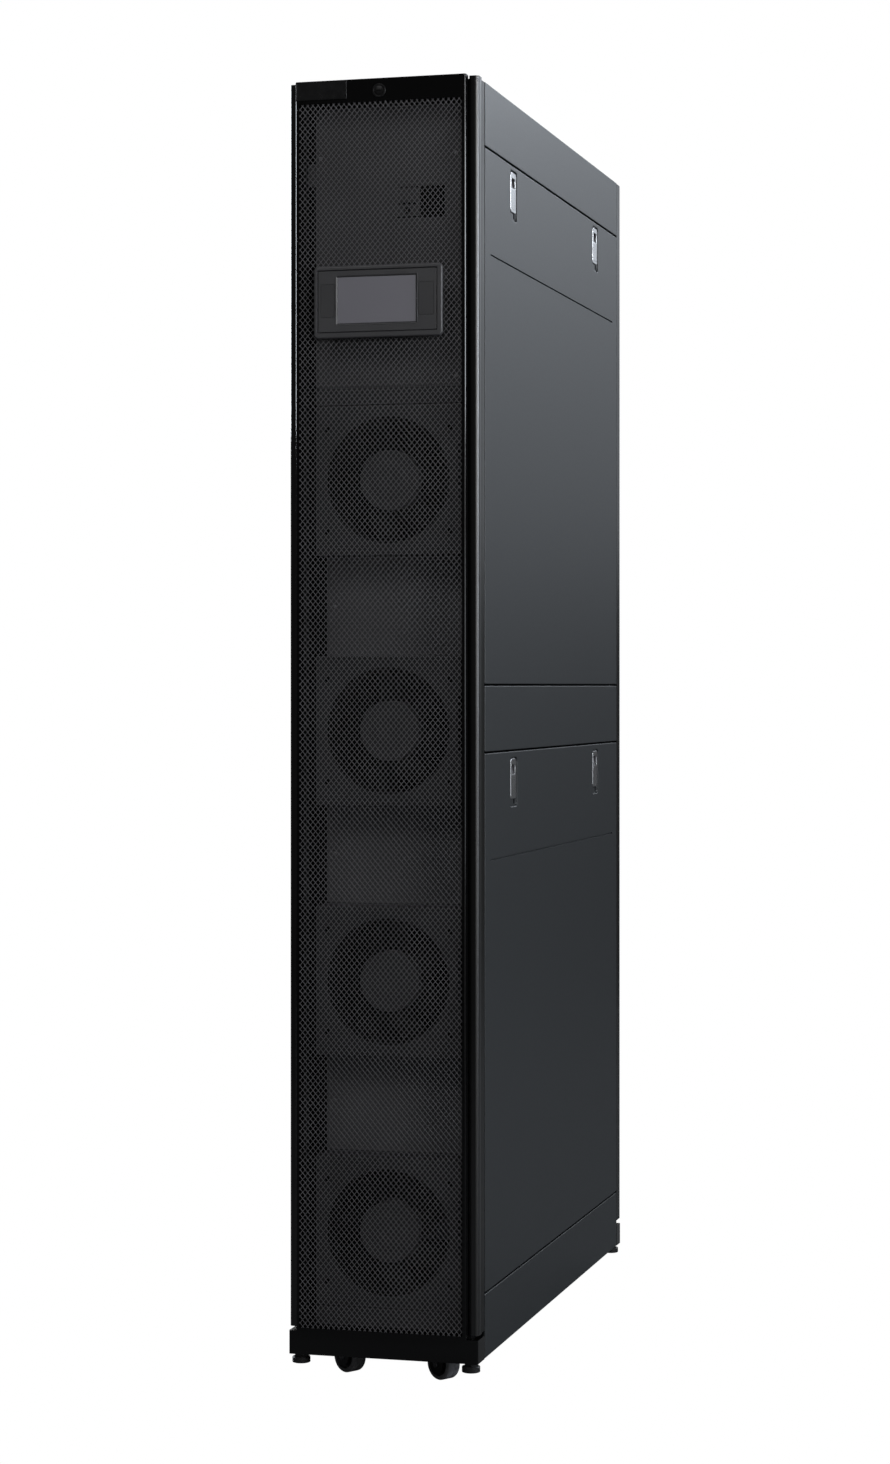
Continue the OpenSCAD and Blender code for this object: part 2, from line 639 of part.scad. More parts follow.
module display_screen() color([0.33, 0.33, 0.35]) slab(123, 70, 1.2, -yd - 5.4, -yd - 3.2, -4, bezel_z + 2.5);

module rear_door_frame() color([0.04, 0.04, 0.045]) mirror([0, 1, 0]) door_frame();
module rear_door_mesh() color([0.20, 0.20, 0.21]) mirror([0, 1, 0]) mesh_slab();

// Rear lock: the same cam with a wing knob
module rear_door_lock() color([0.09, 0.09, 0.10]) mirror([0, 1, 0]) difference() {
    union() {
        cyl_y(13, -yd - 2, -yd - 0.2, -1.6, lock_z);
        cyl_y(8, -yd - 1, -yd + door_t, -1.6, lock_z);
        slab(22, 6, 2.5, -yd - 7, -yd - 1, -1.6, lock_z);
        lock_cam();
    }
}

// ---------------------------------------------------------------- casters and feet

caster_a = -32;      // stored swivel angle of the front casters
// Places a caster at a corner; the wheels of a pair trail opposite ways
module at_caster(sx, sy) translate([sx * caster_x, sy * caster_y, 0]) rotate([0, 0, caster_a + (sx > 0 ? 0 : 180)]) children();

axle_z = wheel_d / 2;
cheek = 3;
module caster_yoke(sx, sy) color([0.10, 0.10, 0.11]) at_caster(sx, sy) {
    // stem and top plate
    translate([0, 0, 53]) cylinder(r = 6, h = 20, $fn = 64);
    translate([0, 0, 53]) cylinder(r = 17, h = 6, $fn = 64);
    bx(-15, trail + 16, -wheel_w / 2 - 1 - cheek, wheel_w / 2 + 1 + cheek, 51.5, 54.5);
    // cheeks
    for (s = [-1, 1]) translate([0, s * (wheel_w / 2 + 1 + cheek / 2), 0]) rotate([90, 0, 0])
        linear_extrude(cheek, center = true) difference() {
            union() {
                translate([trail - 14, axle_z]) square([28, 52 - axle_z]);
                translate([trail, axle_z]) circle(r = 14, $fn = 64);
            }
        }
    // axle
    translate([trail, 0, axle_z]) rotate([90, 0, 0]) cylinder(r = 3, h = wheel_w + 2 + 2 * cheek, center = true, $fn = 48);
}

// Solid stem inside the wheel's sweep is cut away
module yoke(sx, sy) difference() {
    caster_yoke(sx, sy);
    at_caster(sx, sy) translate([trail, 0, axle_z]) rotate([90, 0, 0]) difference() {
        cylinder(r = wheel_d / 2 + 1.4, h = wheel_w + 2, center = true, $fn = 72);
        cylinder(r = 3, h = wheel_w + 4, center = true, $fn = 48);
    }
}

module wheel(sx, sy) color([0.30, 0.30, 0.31]) at_caster(sx, sy) translate([trail, 0, axle_z]) rotate([90, 0, 0])
    rotate_extrude($fn = 96) polygon([[3.05, -wheel_w / 2 - 0.6], [8, -wheel_w / 2 - 0.6], [8, -wheel_w / 2 + 1.5],
        [17, -wheel_w / 2 + 1.5], [18, -wheel_w / 2], [wheel_d / 2 - 2, -wheel_w / 2], [wheel_d / 2, -wheel_w / 2 + 2],
        [wheel_d / 2, wheel_w / 2 - 2], [wheel_d / 2 - 2, wheel_w / 2], [18, wheel_w / 2], [17, wheel_w / 2 - 1.5],
        [8, wheel_w / 2 - 1.5], [8, wheel_w / 2 + 0.6], [3.05, wheel_w / 2 + 0.6]]);

module caster_yoke_front_left() yoke(-1, -1);
module caster_yoke_front_right() yoke(1, -1);
module caster_yoke_rear_left() yoke(-1, 1);
module caster_yoke_rear_right() yoke(1, 1);
module caster_wheel_front_left() wheel(-1, -1);
module caster_wheel_front_right() wheel(1, -1);
module caster_wheel_rear_left() wheel(-1, 1);
module caster_wheel_rear_right() wheel(1, 1);

// Levelling foot: pad, hexagon and threaded stud
module foot(sx, sy) color([0.05, 0.05, 0.055]) translate([sx * foot_x, sy * foot_y, foot_z]) {
    cylinder(r = 14, h = 9, $fn = 64);
    translate([0, 0, 9]) cylinder(r = 11, h = 6, $fn = 6);
    cylinder(r = 5, h = 62, $fn = 48);
}
module foot_front_left() foot(-1, -1);
module foot_front_right() foot(1, -1);
module foot_rear_left() foot(-1, 1);
module foot_rear_right() foot(1, 1);

// ---------------------------------------------------------------- nodes

corner_posts();
floor_pan();
frame_bars();
door_fittings();
base_covers();
front_trims();
roof_panel();
top_rails();
mid_rails();
bottom_rails();
fan_plates();
fan_motors();
blanking_panels();
electrical_box();
power_modules();
cooling_coil();
drain_pan();
condensate_pump();
supply_pipe();
return_pipe();
control_valve();
valve_actuator();
air_filters();
fan_rotor_1();
fan_rotor_2();
fan_rotor_3();
fan_rotor_4();
front_door_frame();
front_door_mesh();
badge_plate();
front_door_lock();
display_bezel();
display_screen();
rear_door_frame();
rear_door_mesh();
rear_door_lock();
side_panel_upper_right();
side_panel_lower_right();
side_panel_upper_left();
side_panel_lower_left();
latch_upper_right_front();
latch_upper_right_rear();
latch_lower_right_front();
latch_lower_right_rear();
latch_upper_left_front();
latch_upper_left_rear();
latch_lower_left_front();
latch_lower_left_rear();
caster_yoke_front_left();
caster_yoke_front_right();
caster_yoke_rear_left();
caster_yoke_rear_right();
caster_wheel_front_left();
caster_wheel_front_right();
caster_wheel_rear_left();
caster_wheel_rear_right();
foot_front_left();
foot_front_right();
foot_rear_left();
foot_rear_right();
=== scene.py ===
import bpy
import bmesh
import math
from mathutils import Vector, Matrix
from mathutils.geometry import tessellate_polygon


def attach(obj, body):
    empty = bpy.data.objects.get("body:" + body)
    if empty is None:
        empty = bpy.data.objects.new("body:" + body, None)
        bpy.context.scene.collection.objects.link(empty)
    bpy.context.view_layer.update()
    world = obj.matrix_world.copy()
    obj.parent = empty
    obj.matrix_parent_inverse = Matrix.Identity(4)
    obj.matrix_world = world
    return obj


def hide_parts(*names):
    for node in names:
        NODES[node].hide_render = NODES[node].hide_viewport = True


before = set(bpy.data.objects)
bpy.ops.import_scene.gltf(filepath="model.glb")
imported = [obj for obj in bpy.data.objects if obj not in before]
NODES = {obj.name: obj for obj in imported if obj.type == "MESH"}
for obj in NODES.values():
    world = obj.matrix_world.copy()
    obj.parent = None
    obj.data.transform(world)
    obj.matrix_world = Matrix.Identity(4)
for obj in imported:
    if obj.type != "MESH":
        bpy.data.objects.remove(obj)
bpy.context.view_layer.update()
MM = 0.001
scene = bpy.context.scene
scene.view_settings.view_transform = "Standard"

# ------------------------------------------------------------------ camera
cam_data = bpy.data.cameras.new("camera")
cam = bpy.data.objects.new("camera", cam_data)
scene.collection.objects.link(cam)
cam.location = (1.3037, -5.0091, 1.0675)
cam.rotation_euler = (math.radians(90), 0, math.radians(15.049))
cam_data.sensor_width = 36
cam_data.lens = 75.31
cam_data.shift_y = -0.0317
cam_data.clip_end = 100
scene.camera = cam

# ------------------------------------------------------------------ materials


class Mat:
    """A small helper around one node material."""

    def __init__(self, name, base, rough, metallic=0.0, spec=0.5, coat=0.0, coat_rough=0.2):
        self.m = bpy.data.materials.new(name)
        self.m.use_nodes = True
        self.t = self.m.node_tree
        self.n = self.t.nodes
        self.l = self.t.links
        self.b = self.n["Principled BSDF"]
        self.b.inputs["Base Color"].default_value = (*base, 1)
        self.b.inputs["Roughness"].default_value = rough
        self.b.inputs["Metallic"].default_value = metallic
        self.b.inputs["Specular IOR Level"].default_value = spec
        self.b.inputs["Coat Weight"].default_value = coat
        self.b.inputs["Coat Roughness"].default_value = coat_rough
        self.base = base
        self.rough = rough
        self.co = self.n.new("ShaderNodeTexCoord").outputs["Object"]
        self.height = None

    def noise(self, scale, detail=3, rough=0.5, stretch=None):
        co = self.co
        if stretch:
            mp = self.n.new("ShaderNodeMapping")
            mp.inputs["Scale"].default_value = stretch
            self.l.new(co, mp.inputs["Vector"])
            co = mp.outputs["Vector"]
        t = self.n.new("ShaderNodeTexNoise")
        t.inputs["Scale"].default_value = scale
        t.inputs["Detail"].default_value = detail
        t.inputs["Roughness"].default_value = rough
        self.l.new(co, t.inputs["Vector"])
        return t.outputs["Fac"]

    def ramp(self, fac, lo, hi, a=0.3, b=0.7):
        r = self.n.new("ShaderNodeValToRGB")
        r.color_ramp.elements[0].position = a
        r.color_ramp.elements[1].position = b
        r.color_ramp.elements[0].color = (*lo, 1)
        r.color_ramp.elements[1].color = (*hi, 1)
        self.l.new(fac, r.inputs["Fac"])
        return r.outputs["Color"]

    def vary(self, fac, amount, a=0.3, b=0.7):
        """Base colour varies by +-amount around the base."""
        lo = tuple(max(0, c * (1 - amount)) for c in self.base)
        hi = tuple(min(1, c * (1 + amount)) for c in self.base)
        self.l.new(self.ramp(fac, lo, hi, a, b), self.b.inputs["Base Color"])
        return self

    def vary_rough(self, fac, lo, hi):
        m = self.n.new("ShaderNodeMapRange")
        m.inputs["From Min"].default_value = 0.3
        m.inputs["From Max"].default_value = 0.7
        m.inputs["To Min"].default_value = lo
        m.inputs["To Max"].default_value = hi
        self.l.new(fac, m.inputs["Value"])
        self.l.new(m.outputs["Result"], self.b.inputs["Roughness"])
        return self

    def bump(self, fac, distance_mm, strength=1.0):
        u = self.n.new("ShaderNodeBump")
        u.inputs["Distance"].default_value = distance_mm * MM
        u.inputs["Strength"].default_value = strength
        self.l.new(fac, u.inputs["Height"])
        if self.height is not None:
            self.l.new(self.height, u.inputs["Normal"])
        self.height = u.outputs["Normal"]
        self.l.new(self.height, self.b.inputs["Normal"])
        return self

    def wave(self, scale, axis="Z", distort=0.0):
        w = self.n.new("ShaderNodeTexWave")
        w.wave_type = "BANDS"
        w.bands_direction = axis
        w.inputs["Scale"].default_value = scale
        w.inputs["Distortion"].default_value = distort
        self.l.new(self.co, w.inputs["Vector"])
        return w.outputs["Fac"]


def powder(name, base, rough, spec, grain=0.012, var=0.12, coat=0.0, dr=0.03):
    """Powder coat: a fine grain, a faint orange peel and a soft change of tone."""
    m = Mat(name, base, rough, spec=spec, coat=coat)
    fine = m.noise(1900, 2, 0.6)
    peel = m.noise(260, 2, 0.5)
    cloud = m.noise(9, 3, 0.5)
    m.vary(cloud, var)
    m.vary_rough(m.noise(160, 3, 0.6), rough - dr, rough + dr)
    m.bump(peel, grain * 1.2)
    m.bump(fine, grain)
    return m.m


black = powder("frame_black", (0.0012, 0.0012, 0.0013), 0.15, 0.40, grain=0.003, dr=0.015)
trim_black = powder("trim_black", (0.0008, 0.0008, 0.0009), 0.18, 0.80, grain=0.003, dr=0.01)
_tn = trim_black.node_tree
_co = _tn.nodes.new("ShaderNodeTexCoord").outputs["Object"]
_sep = _tn.nodes.new("ShaderNodeSeparateXYZ")
_mr = _tn.nodes.new("ShaderNodeMapRange")
for _k, _v in (("From Min", 0.1436), ("From Max", 0.1446), ("To Min", 0.12), ("To Max", 0.36)):
    _mr.inputs[_k].default_value = _v
_tn.links.new(_co, _sep.inputs["Vector"])
_tn.links.new(_sep.outputs["X"], _mr.inputs["Value"])
_tn.links.new(_mr.outputs["Result"], _tn.nodes["Principled BSDF"].inputs["Roughness"])
door_black = powder("door_black", (0.0008, 0.0008, 0.0009), 0.12, 0.35, grain=0.003, var=0.15, dr=0.01)
panel = powder("panel_grey", (0.0078, 0.0095, 0.0107), 0.45, 0.5, grain=0.006, var=0.02, dr=0.008)
mesh_mat = powder("door_mesh", (0.081, 0.080, 0.085), 0.50, 0.25, grain=0.004)
inner = powder("inner_sheet", (0.034, 0.034, 0.036), 0.55, 0.2, grain=0.008)
blank_mat = powder("blank_sheet", (0.056, 0.056, 0.059), 0.55, 0.2, grain=0.008)
plate_mat = powder("fan_plate", (0.019, 0.019, 0.0202), 0.55, 0.15, grain=0.008)


def plastic(name, base, rough, grain=0.02, spec=0.35, scale=1400):
    m = Mat(name, base, rough, spec=spec)
    m.vary(m.noise(14, 3), 0.10)
    m.vary_rough(m.noise(50, 3), rough - 0.04, rough + 0.05)
    m.bump(m.noise(scale, 2, 0.7), grain)
    return m.m


fan_black = plastic("fan_black", (0.0016, 0.0016, 0.0017), 0.6, spec=0.08)
bezel_mat = plastic("bezel_plastic", (0.040, 0.040, 0.0425), 0.42, grain=0.012)
flap_mat = plastic("bezel_flap", (0.036, 0.036, 0.038), 0.40, grain=0.012)
actuator_mat = plastic("actuator_plastic", (0.30, 0.31, 0.33), 0.45)
hub_mat = plastic("hub_plastic", (0.021, 0.021, 0.0222), 0.55, spec=0.2)

_s = Mat("screen_glass", (0.140, 0.138, 0.156), 0.30, spec=0.5, coat=0.35, coat_rough=0.12)
_s.vary(_s.noise(6, 2), 0.03)
_s.vary_rough(_s.noise(300, 2), 0.29, 0.31)
_s.bump(_s.noise(1500, 2), 0.0008)
screen_mat = _s.m

_m = Mat("latch_silver", (0.46, 0.465, 0.475), 0.34, metallic=1.0)
_m.vary(_m.noise(60, 3), 0.06)
_m.vary_rough(_m.noise(220, 4, 0.6, stretch=(1, 1, 8)), 0.24, 0.38)
_m.bump(_m.noise(700, 3, 0.6, stretch=(1, 6, 1)), 0.006)
silver = _m.m

_m = Mat("latch_dark", (0.055, 0.053, 0.058), 0.5, spec=0.3)
_m.vary(_m.noise(90, 3), 0.12)
_m.bump(_m.noise(1300, 2), 0.01)
latch_dark = _m.m

_m = Mat("lock_metal", (0.0055, 0.0055, 0.0058), 0.40, spec=0.12)
_m.vary(_m.noise(80, 3), 0.12)
_m.vary_rough(_m.noise(300, 3), 0.28, 0.42)
_m.bump(_m.noise(1500, 2), 0.004)
lock_mat = _m.m

_m = Mat("screw_steel", (0.10, 0.10, 0.105), 0.35, metallic=0.8)
_m.vary(_m.noise(150, 3), 0.15)
_m.bump(_m.noise(1200, 2), 0.006)
screw_mat = _m.m

_m = Mat("zinc_sheet", (0.20, 0.21, 0.22), 0.42, metallic=0.6)
_m.vary(_m.noise(45, 2, 0.8), 0.18, 0.42, 0.58)
_m.vary_rough(_m.noise(70, 3), 0.30, 0.48)
_m.bump(_m.noise(300, 3), 0.006)
zinc = _m.m

# painted shade: a near-black base, not the fins' own aluminium tone, stands in for the darkness behind the fans; the
# coil's tubes and end plates share it
_m = Mat("coil_aluminium", (0.004, 0.004, 0.0043), 0.60, spec=0.04)
_m.vary(_m.noise(18, 3), 0.10)
_m.bump(_m.wave(180, "X"), 0.4)
_m.vary_rough(_m.noise(50, 3), 0.5, 0.6)
coil_shade_black = _m.m

_m = Mat("copper_pipe", (0.26, 0.125, 0.08), 0.42, metallic=0.9)
_m.vary(_m.noise(24, 4, 0.6), 0.22)
_m.vary_rough(_m.noise(60, 4), 0.36, 0.5)
_m.bump(_m.noise(500, 2), 0.006)
copper = _m.m

_m = Mat("valve_brass", (0.55, 0.40, 0.17), 0.33, metallic=1.0)
_m.vary(_m.noise(30, 4, 0.6), 0.15)
_m.vary_rough(_m.noise(90, 4), 0.28, 0.45)
_m.bump(_m.noise(700, 3), 0.02)
brass = _m.m

_m = Mat("filter_media", (0.62, 0.62, 0.58), 0.95, spec=0.1)
_m.vary(_m.noise(120, 4, 0.7), 0.12)
_m.bump(_m.noise(900, 4, 0.8), 0.25)
filter_mat = _m.m

_m = Mat("filter_card", (0.50, 0.48, 0.43), 0.85, spec=0.15)
_m.vary(_m.noise(60, 4, 0.7), 0.10)
_m.bump(_m.noise(600, 4, 0.8), 0.05)
card_mat = _m.m

_m = Mat("caster_metal", (0.020, 0.020, 0.021), 0.38, metallic=0.3, spec=0.4)
_m.vary(_m.noise(70, 3), 0.15)
_m.vary_rough(_m.noise(120, 3), 0.32, 0.46)
_m.bump(_m.noise(900, 3), 0.01)
caster_mat = _m.m

_m = Mat("wheel_rubber", (0.19, 0.19, 0.20), 0.48, spec=0.4)
_m.vary(_m.noise(60, 4), 0.12)
_m.vary_rough(_m.noise(140, 4), 0.40, 0.56)
_m.bump(_m.noise(800, 3), 0.02)
tread_mat = _m.m

_m = Mat("foot_black", (0.010, 0.010, 0.0105), 0.40, spec=0.4)
_m.vary(_m.noise(90, 3), 0.2)
_m.bump(_m.noise(900, 3), 0.02)
foot_mat = _m.m

_m = Mat("gasket", (0.0022, 0.0022, 0.0023), 0.8, spec=0.05)
_m.vary(_m.noise(90, 3), 0.2)
_m.bump(_m.noise(900, 3), 0.05)
gasket_mat = _m.m

# ------------------------------------------------------------------ mesh helpers


def finish_obj(name, bm, body, mat, slot, replaces=(), angle=35, weld=0.00002):
    if weld:
        bmesh.ops.remove_doubles(bm, verts=bm.verts, dist=weld)
    me = bpy.data.meshes.new(name)
    bm.to_mesh(me)
    bm.free()
    for p in me.polygons:
        p.use_smooth = True
    me.set_sharp_from_angle(angle=math.radians(angle))
    mats = mat if isinstance(mat, (list, tuple)) else [mat]
    for m in mats:
        me.materials.append(m)
    ob = bpy.data.objects.new(name, me)
    scene.collection.objects.link(ob)
    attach(ob, body)
    if replaces:
        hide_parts(*replaces)
    return ob


def to_xyz(axis, u, v, w):
    """(u, v) in the plane, w along the axis, all in mm, to metres."""
    if axis == "x":
        return (w * MM, u * MM, v * MM)
    if axis == "y":
        return (u * MM, w * MM, v * MM)
    return (u * MM, v * MM, w * MM)


def rrect(cu, cv, w, h, r, n=6):
    """Rounded rectangle loop, counter-clockwise."""
    r = max(0.02, min(r, w / 2 - 0.01, h / 2 - 0.01))
    pts = []
    for sx, sy, a0 in ((1, 1, 0), (-1, 1, 90), (-1, -1, 180), (1, -1, 270)):
        for i in range(n + 1):
            a = math.radians(a0 + 90 * i / n)
            pts.append((cu + sx * (w / 2 - r) + r * math.cos(a), cv + sy * (h / 2 - r) + r * math.sin(a)))
    return pts


def circ(cu, cv, r, n=48, a0=0.0):
    return [(cu + r * math.cos(a0 + 2 * math.pi * i / n), cv + r * math.sin(a0 + 2 * math.pi * i / n)) for i in range(n)]


def flat_normals(ob):
    """Keeps large faces shaded flat beside their rounded edges."""
    m = ob.modifiers.new("normals", "WEIGHTED_NORMAL")
    m.mode = "FACE_AREA"
    m.weight = 100
    m.keep_sharp = True


class Shell:
    """Sheets made of rings of points: lofted side walls, and flat faces with holes."""

    def __init__(self, axis):
        self.axis = axis
        self.bm = bmesh.new()
        self.mi = 0

    def ring(self, loop, w):
        return [self.bm.verts.new(to_xyz(self.axis, u, v, w)) for u, v in loop]

    def _face(self, vs):
        try:
            f = self.bm.faces.new(vs)
            f.material_index = self.mi
        except ValueError:
            pass

    def loft(self, *rings):
        for a, b in zip(rings, rings[1:]):
            n = len(a)
            for i in range(n):
                self._face((a[i], a[(i + 1) % n], b[(i + 1) % n], b[i]))

    def fill(self, outer, *holes):
        loops = [outer] + list(holes)
        flat = [v for lp in loops for v in lp]
        if not holes:
            self._face(outer)
            return
        ks = {"x": (1, 2), "y": (0, 2), "z": (0, 1)}[self.axis]
        tri = tessellate_polygon([[Vector((v.co[ks[0]], v.co[ks[1]], 0)) for v in lp] for lp in loops])
        for t in tri:
            self._face([flat[i] for i in t])

    def done(self, *a, thick=None, offset=-1, **k):
        bmesh.ops.remove_doubles(self.bm, verts=self.bm.verts, dist=0.00001)
        bmesh.ops.recalc_face_normals(self.bm, faces=self.bm.faces)
        ob = finish_obj(a[0], self.bm, *a[1:], weld=0, **k)
        if thick:
            m = ob.modifiers.new("thickness", "SOLIDIFY")
            m.thickness = thick * MM
            m.offset = offset
            m.use_even_offset = False
            if len(ob.data.materials) > 1:
                m.material_offset = 1             # the back of the sheet carries the second material
        flat_normals(ob)
        return ob


def edge_profile(r, n=4):
    """Offsets (inwards, depth below the face) of a rounded edge of radius r, from the side wall to the face."""
    out = []
    for i in range(n + 1):
        a = math.pi / 2 * i / n
        out.append((r * (1 - math.sin(a)), r * (1 - math.cos(a))))
    return [(o, d) for o, d in reversed(out)]


def rounded_slab(axis, cu, cv, w, h, rc, lo, hi, re, n=6, ne=3, sign=1, shell=None, back_round=0.0):
    """Closed slab from lo to hi along the axis, its outer face (hi if sign > 0, else lo) with a rounded edge re."""
    s = shell or Shell(axis)
    far, near = (lo, hi) if sign > 0 else (hi, lo)
    rings = []
    if back_round:
        for i in range(ne + 1):
            a = math.pi / 2 * i / ne
            o = back_round * (1 - math.sin(a))
            rings.append(s.ring(rrect(cu, cv, w - 2 * o, h - 2 * o, rc - o, n), far + sign * back_round * (1 - math.cos(a))))
    else:
        rings.append(s.ring(rrect(cu, cv, w, h, rc, n), far))
    for i in range(ne + 1):
        a = math.pi / 2 * i / ne
        o = re * (1 - math.cos(a))
        rings.append(s.ring(rrect(cu, cv, w - 2 * o, h - 2 * o, rc - o, n), near - sign * re * (1 - math.sin(a))))
    s.loft(*rings)
    s.fill(rings[0])
    s.fill(rings[-1])
    return s


def box_bm(bm, x0, x1, y0, y1, z0, z1, mi=0):
    vs = [bm.verts.new((x * MM, y * MM, z * MM)) for x in (x0, x1) for y in (y0, y1) for z in (z0, z1)]
    for q in ((0, 1, 3, 2), (4, 6, 7, 5), (0, 4, 5, 1), (2, 3, 7, 6), (0, 2, 6, 4), (1, 5, 7, 3)):
        f = bm.faces.new([vs[i] for i in q])
        f.material_index = mi


def bevel_mod(ob, width_mm, seg=2, angle=32):
    w = ob.modifiers.new("weld", "WELD")
    w.merge_threshold = 0.00002
    m = ob.modifiers.new("edges", "BEVEL")
    m.width = width_mm * MM
    m.segments = seg
    m.limit_method = "ANGLE"
    m.angle_limit = math.radians(angle)
    m.use_clamp_overlap = True
    m.harden_normals = False
    flat_normals(ob)
    return ob


def lathe(bm, profile, origin, axis, n=64, mi=0, close=False):
    """Revolves (radius, along) points in mm around an axis through origin."""
    d = Vector(axis).normalized()
    a = d.orthogonal().normalized()
    b = d.cross(a)
    o = Vector(origin)
    rings = []
    for r, h in profile:
        if r < 1e-6:
            rings.append([bm.verts.new((o + d * h) * MM)])
            continue
        rings.append([bm.verts.new((o + d * h + (a * math.cos(2 * math.pi * i / n) + b * math.sin(2 * math.pi * i / n)) * r) * MM)
                      for i in range(n)])
    pairs = list(zip(rings, rings[1:]))
    if close:
        pairs.append((rings[-1], rings[0]))
    for p, q in pairs:
        for i in range(n):
            j = (i + 1) % n
            if len(p) == 1 and len(q) == 1:
                continue
            if len(p) == 1:
                f = bm.faces.new((p[0], q[j], q[i]))
            elif len(q) == 1:
                f = bm.faces.new((p[i], p[j], q[0]))
            else:
                f = bm.faces.new((p[i], p[j], q[j], q[i]))
            f.material_index = mi


def cad_look(node, mat, bevel=None, angle=35, seg=2):
    """A carried-over CAD node: its material, shading by angle and softened edges."""
    ob = NODES[node]
    ob.data.materials.clear()
    ob.data.materials.append(mat)
    for p in ob.data.polygons:
        p.use_smooth = True
        p.material_index = 0
    w = ob.modifiers.new("weld", "WELD")
    w.merge_threshold = 0.00002
    if bevel:
        m = ob.modifiers.new("edges", "BEVEL")
        m.width = bevel * MM
        m.segments = seg
        m.limit_method = "ANGLE"
        m.angle_limit = math.radians(angle)
        m.use_clamp_overlap = True
        flat_normals(ob)
    ob.data.set_sharp_from_angle(angle=math.radians(angle))
    return ob


# ------------------------------------------------------------------ perforated door sheets
PITCH_X = 264.4 / 32
PITCH_Z = 1877.0 / 192
STRAND = 0.92                                     # width of the bars between the diamond holes


def diamond_sheet(name, body, node, y_front, y_back, z_split, cut=None):
    """Expanded-metal style sheet: diamond holes, real bars and hole walls, in an upper and a lower piece."""
    hx, hz = PITCH_X / 2, PITCH_Z / 2
    inr = hx * hz / math.hypot(hx, hz)
    k = (inr - STRAND / 2) / inr
    nx, nz = 64, 384
    px = lambda i: -132.2 + i * hx
    pz = lambda j: 82.0 + j * hz
    verts, index = [], {}

    def corner(i, j, c):
        key = (i, j, c)
        if key not in index:
            dx, dz = ((k * hx, 0), (0, k * hz), (-k * hx, 0), (0, -k * hz))[c]
            index[key] = len(verts)
            verts.append((px(i) + dx, pz(j) + dz))
        return index[key]

    def hole(i, j):
        return 0 <= i <= nx and 0 <= j <= nz and (i + j) % 2 == 0

    def has(i, j, c):
        if not hole(i, j):
            return False
        return not ((c == 0 and i == nx) or (c == 2 and i == 0) or (c == 1 and j == nz) or (c == 3 and j == 0))

    polys = []
    for i in range(nx + 1):
        for j in range(nz + 1):
            if (i + j) % 2 == 0:
                for di, ca, cb, cc, cd in ((1, 0, 3, 2, 1), (-1, 1, 0, 3, 2)):
                    if hole(i + di, j + 1) and has(i, j, ca) and has(i, j, cd) and has(i + di, j + 1, cb) and has(i + di, j + 1, cc):
                        polys.append((corner(i, j, ca), corner(i + di, j + 1, cb), corner(i + di, j + 1, cc), corner(i, j, cd)))
            else:
                ring = [(i - 1, j, 0), (i, j - 1, 1), (i + 1, j, 2), (i, j + 1, 3)]
                vs = [corner(*r) for r in ring if has(*r)]
                if len(vs) >= 3:
                    polys.append(tuple(vs))
    cen = [(sum(verts[v][0] for v in p) / len(p), sum(verts[v][1] for v in p) / len(p)) for p in polys]
    out = []
    for part, lo, hi in (("lower", -1e9, z_split), ("upper", z_split, 1e9)):
        keep = []
        for p, (cx, cz) in zip(polys, cen):
            if not lo <= cz < hi:
                continue
            if cut and cut[0] < cx < cut[1] and cut[2] < cz < cut[3]:
                continue
            keep.append(p)
        used = sorted({v for p in keep for v in p})
        new = {v: n for n, v in enumerate(used)}
        n = len(used)
        co = [(verts[v][0] * MM, y_front * MM, verts[v][1] * MM) for v in used]
        co += [(verts[v][0] * MM, y_back * MM, verts[v][1] * MM) for v in used]
        faces, count = [], {}
        for p in keep:
            q = [new[v] for v in p]
            faces.append(q)
            faces.append([v + n for v in reversed(q)])
            for a, b in zip(q, q[1:] + q[:1]):
                if (b, a) in count:
                    del count[(b, a)]
                else:
                    count[(a, b)] = 1
        for a, b in count:
            faces.append([b, a, a + n, b + n])
        me = bpy.data.meshes.new(f"{name}_{part}")
        me.from_pydata(co, [], faces)
        me.update()
        bm = bmesh.new()
        bm.from_mesh(me)
        bmesh.ops.recalc_face_normals(bm, faces=bm.faces)
        bm.to_mesh(me)
        bm.free()
        me.materials.append(mesh_mat)
        ob = bpy.data.objects.new(f"{name}_{part}", me)
        scene.collection.objects.link(ob)
        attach(ob, body)
        out.append(ob)
    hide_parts(node)
    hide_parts(node)
    return out


DISPLAY = (-2.0, 1651.5, 203.0, 110.0)            # centre x, centre z, width, height
diamond_sheet("front_mesh", "front_door", "front_door_mesh", -538.9, -538.0, 1060.0,
              cut=(-2 - 91.0, -2 + 91.0, 1651.5 - 44.5, 1651.5 + 44.5))
diamond_sheet("rear_mesh", "rear_door", "rear_door_mesh", 538.9, 538.0, 1060.0)

# ------------------------------------------------------------------ side panels and rails
Y0, Y1 = -482.0, 493.2
YC = (Y0 + Y1) / 2
SLOT_W, SLOT_H = 44.0, 78.0
LATCH_Y = (YC - 304.0, YC + 304.0)


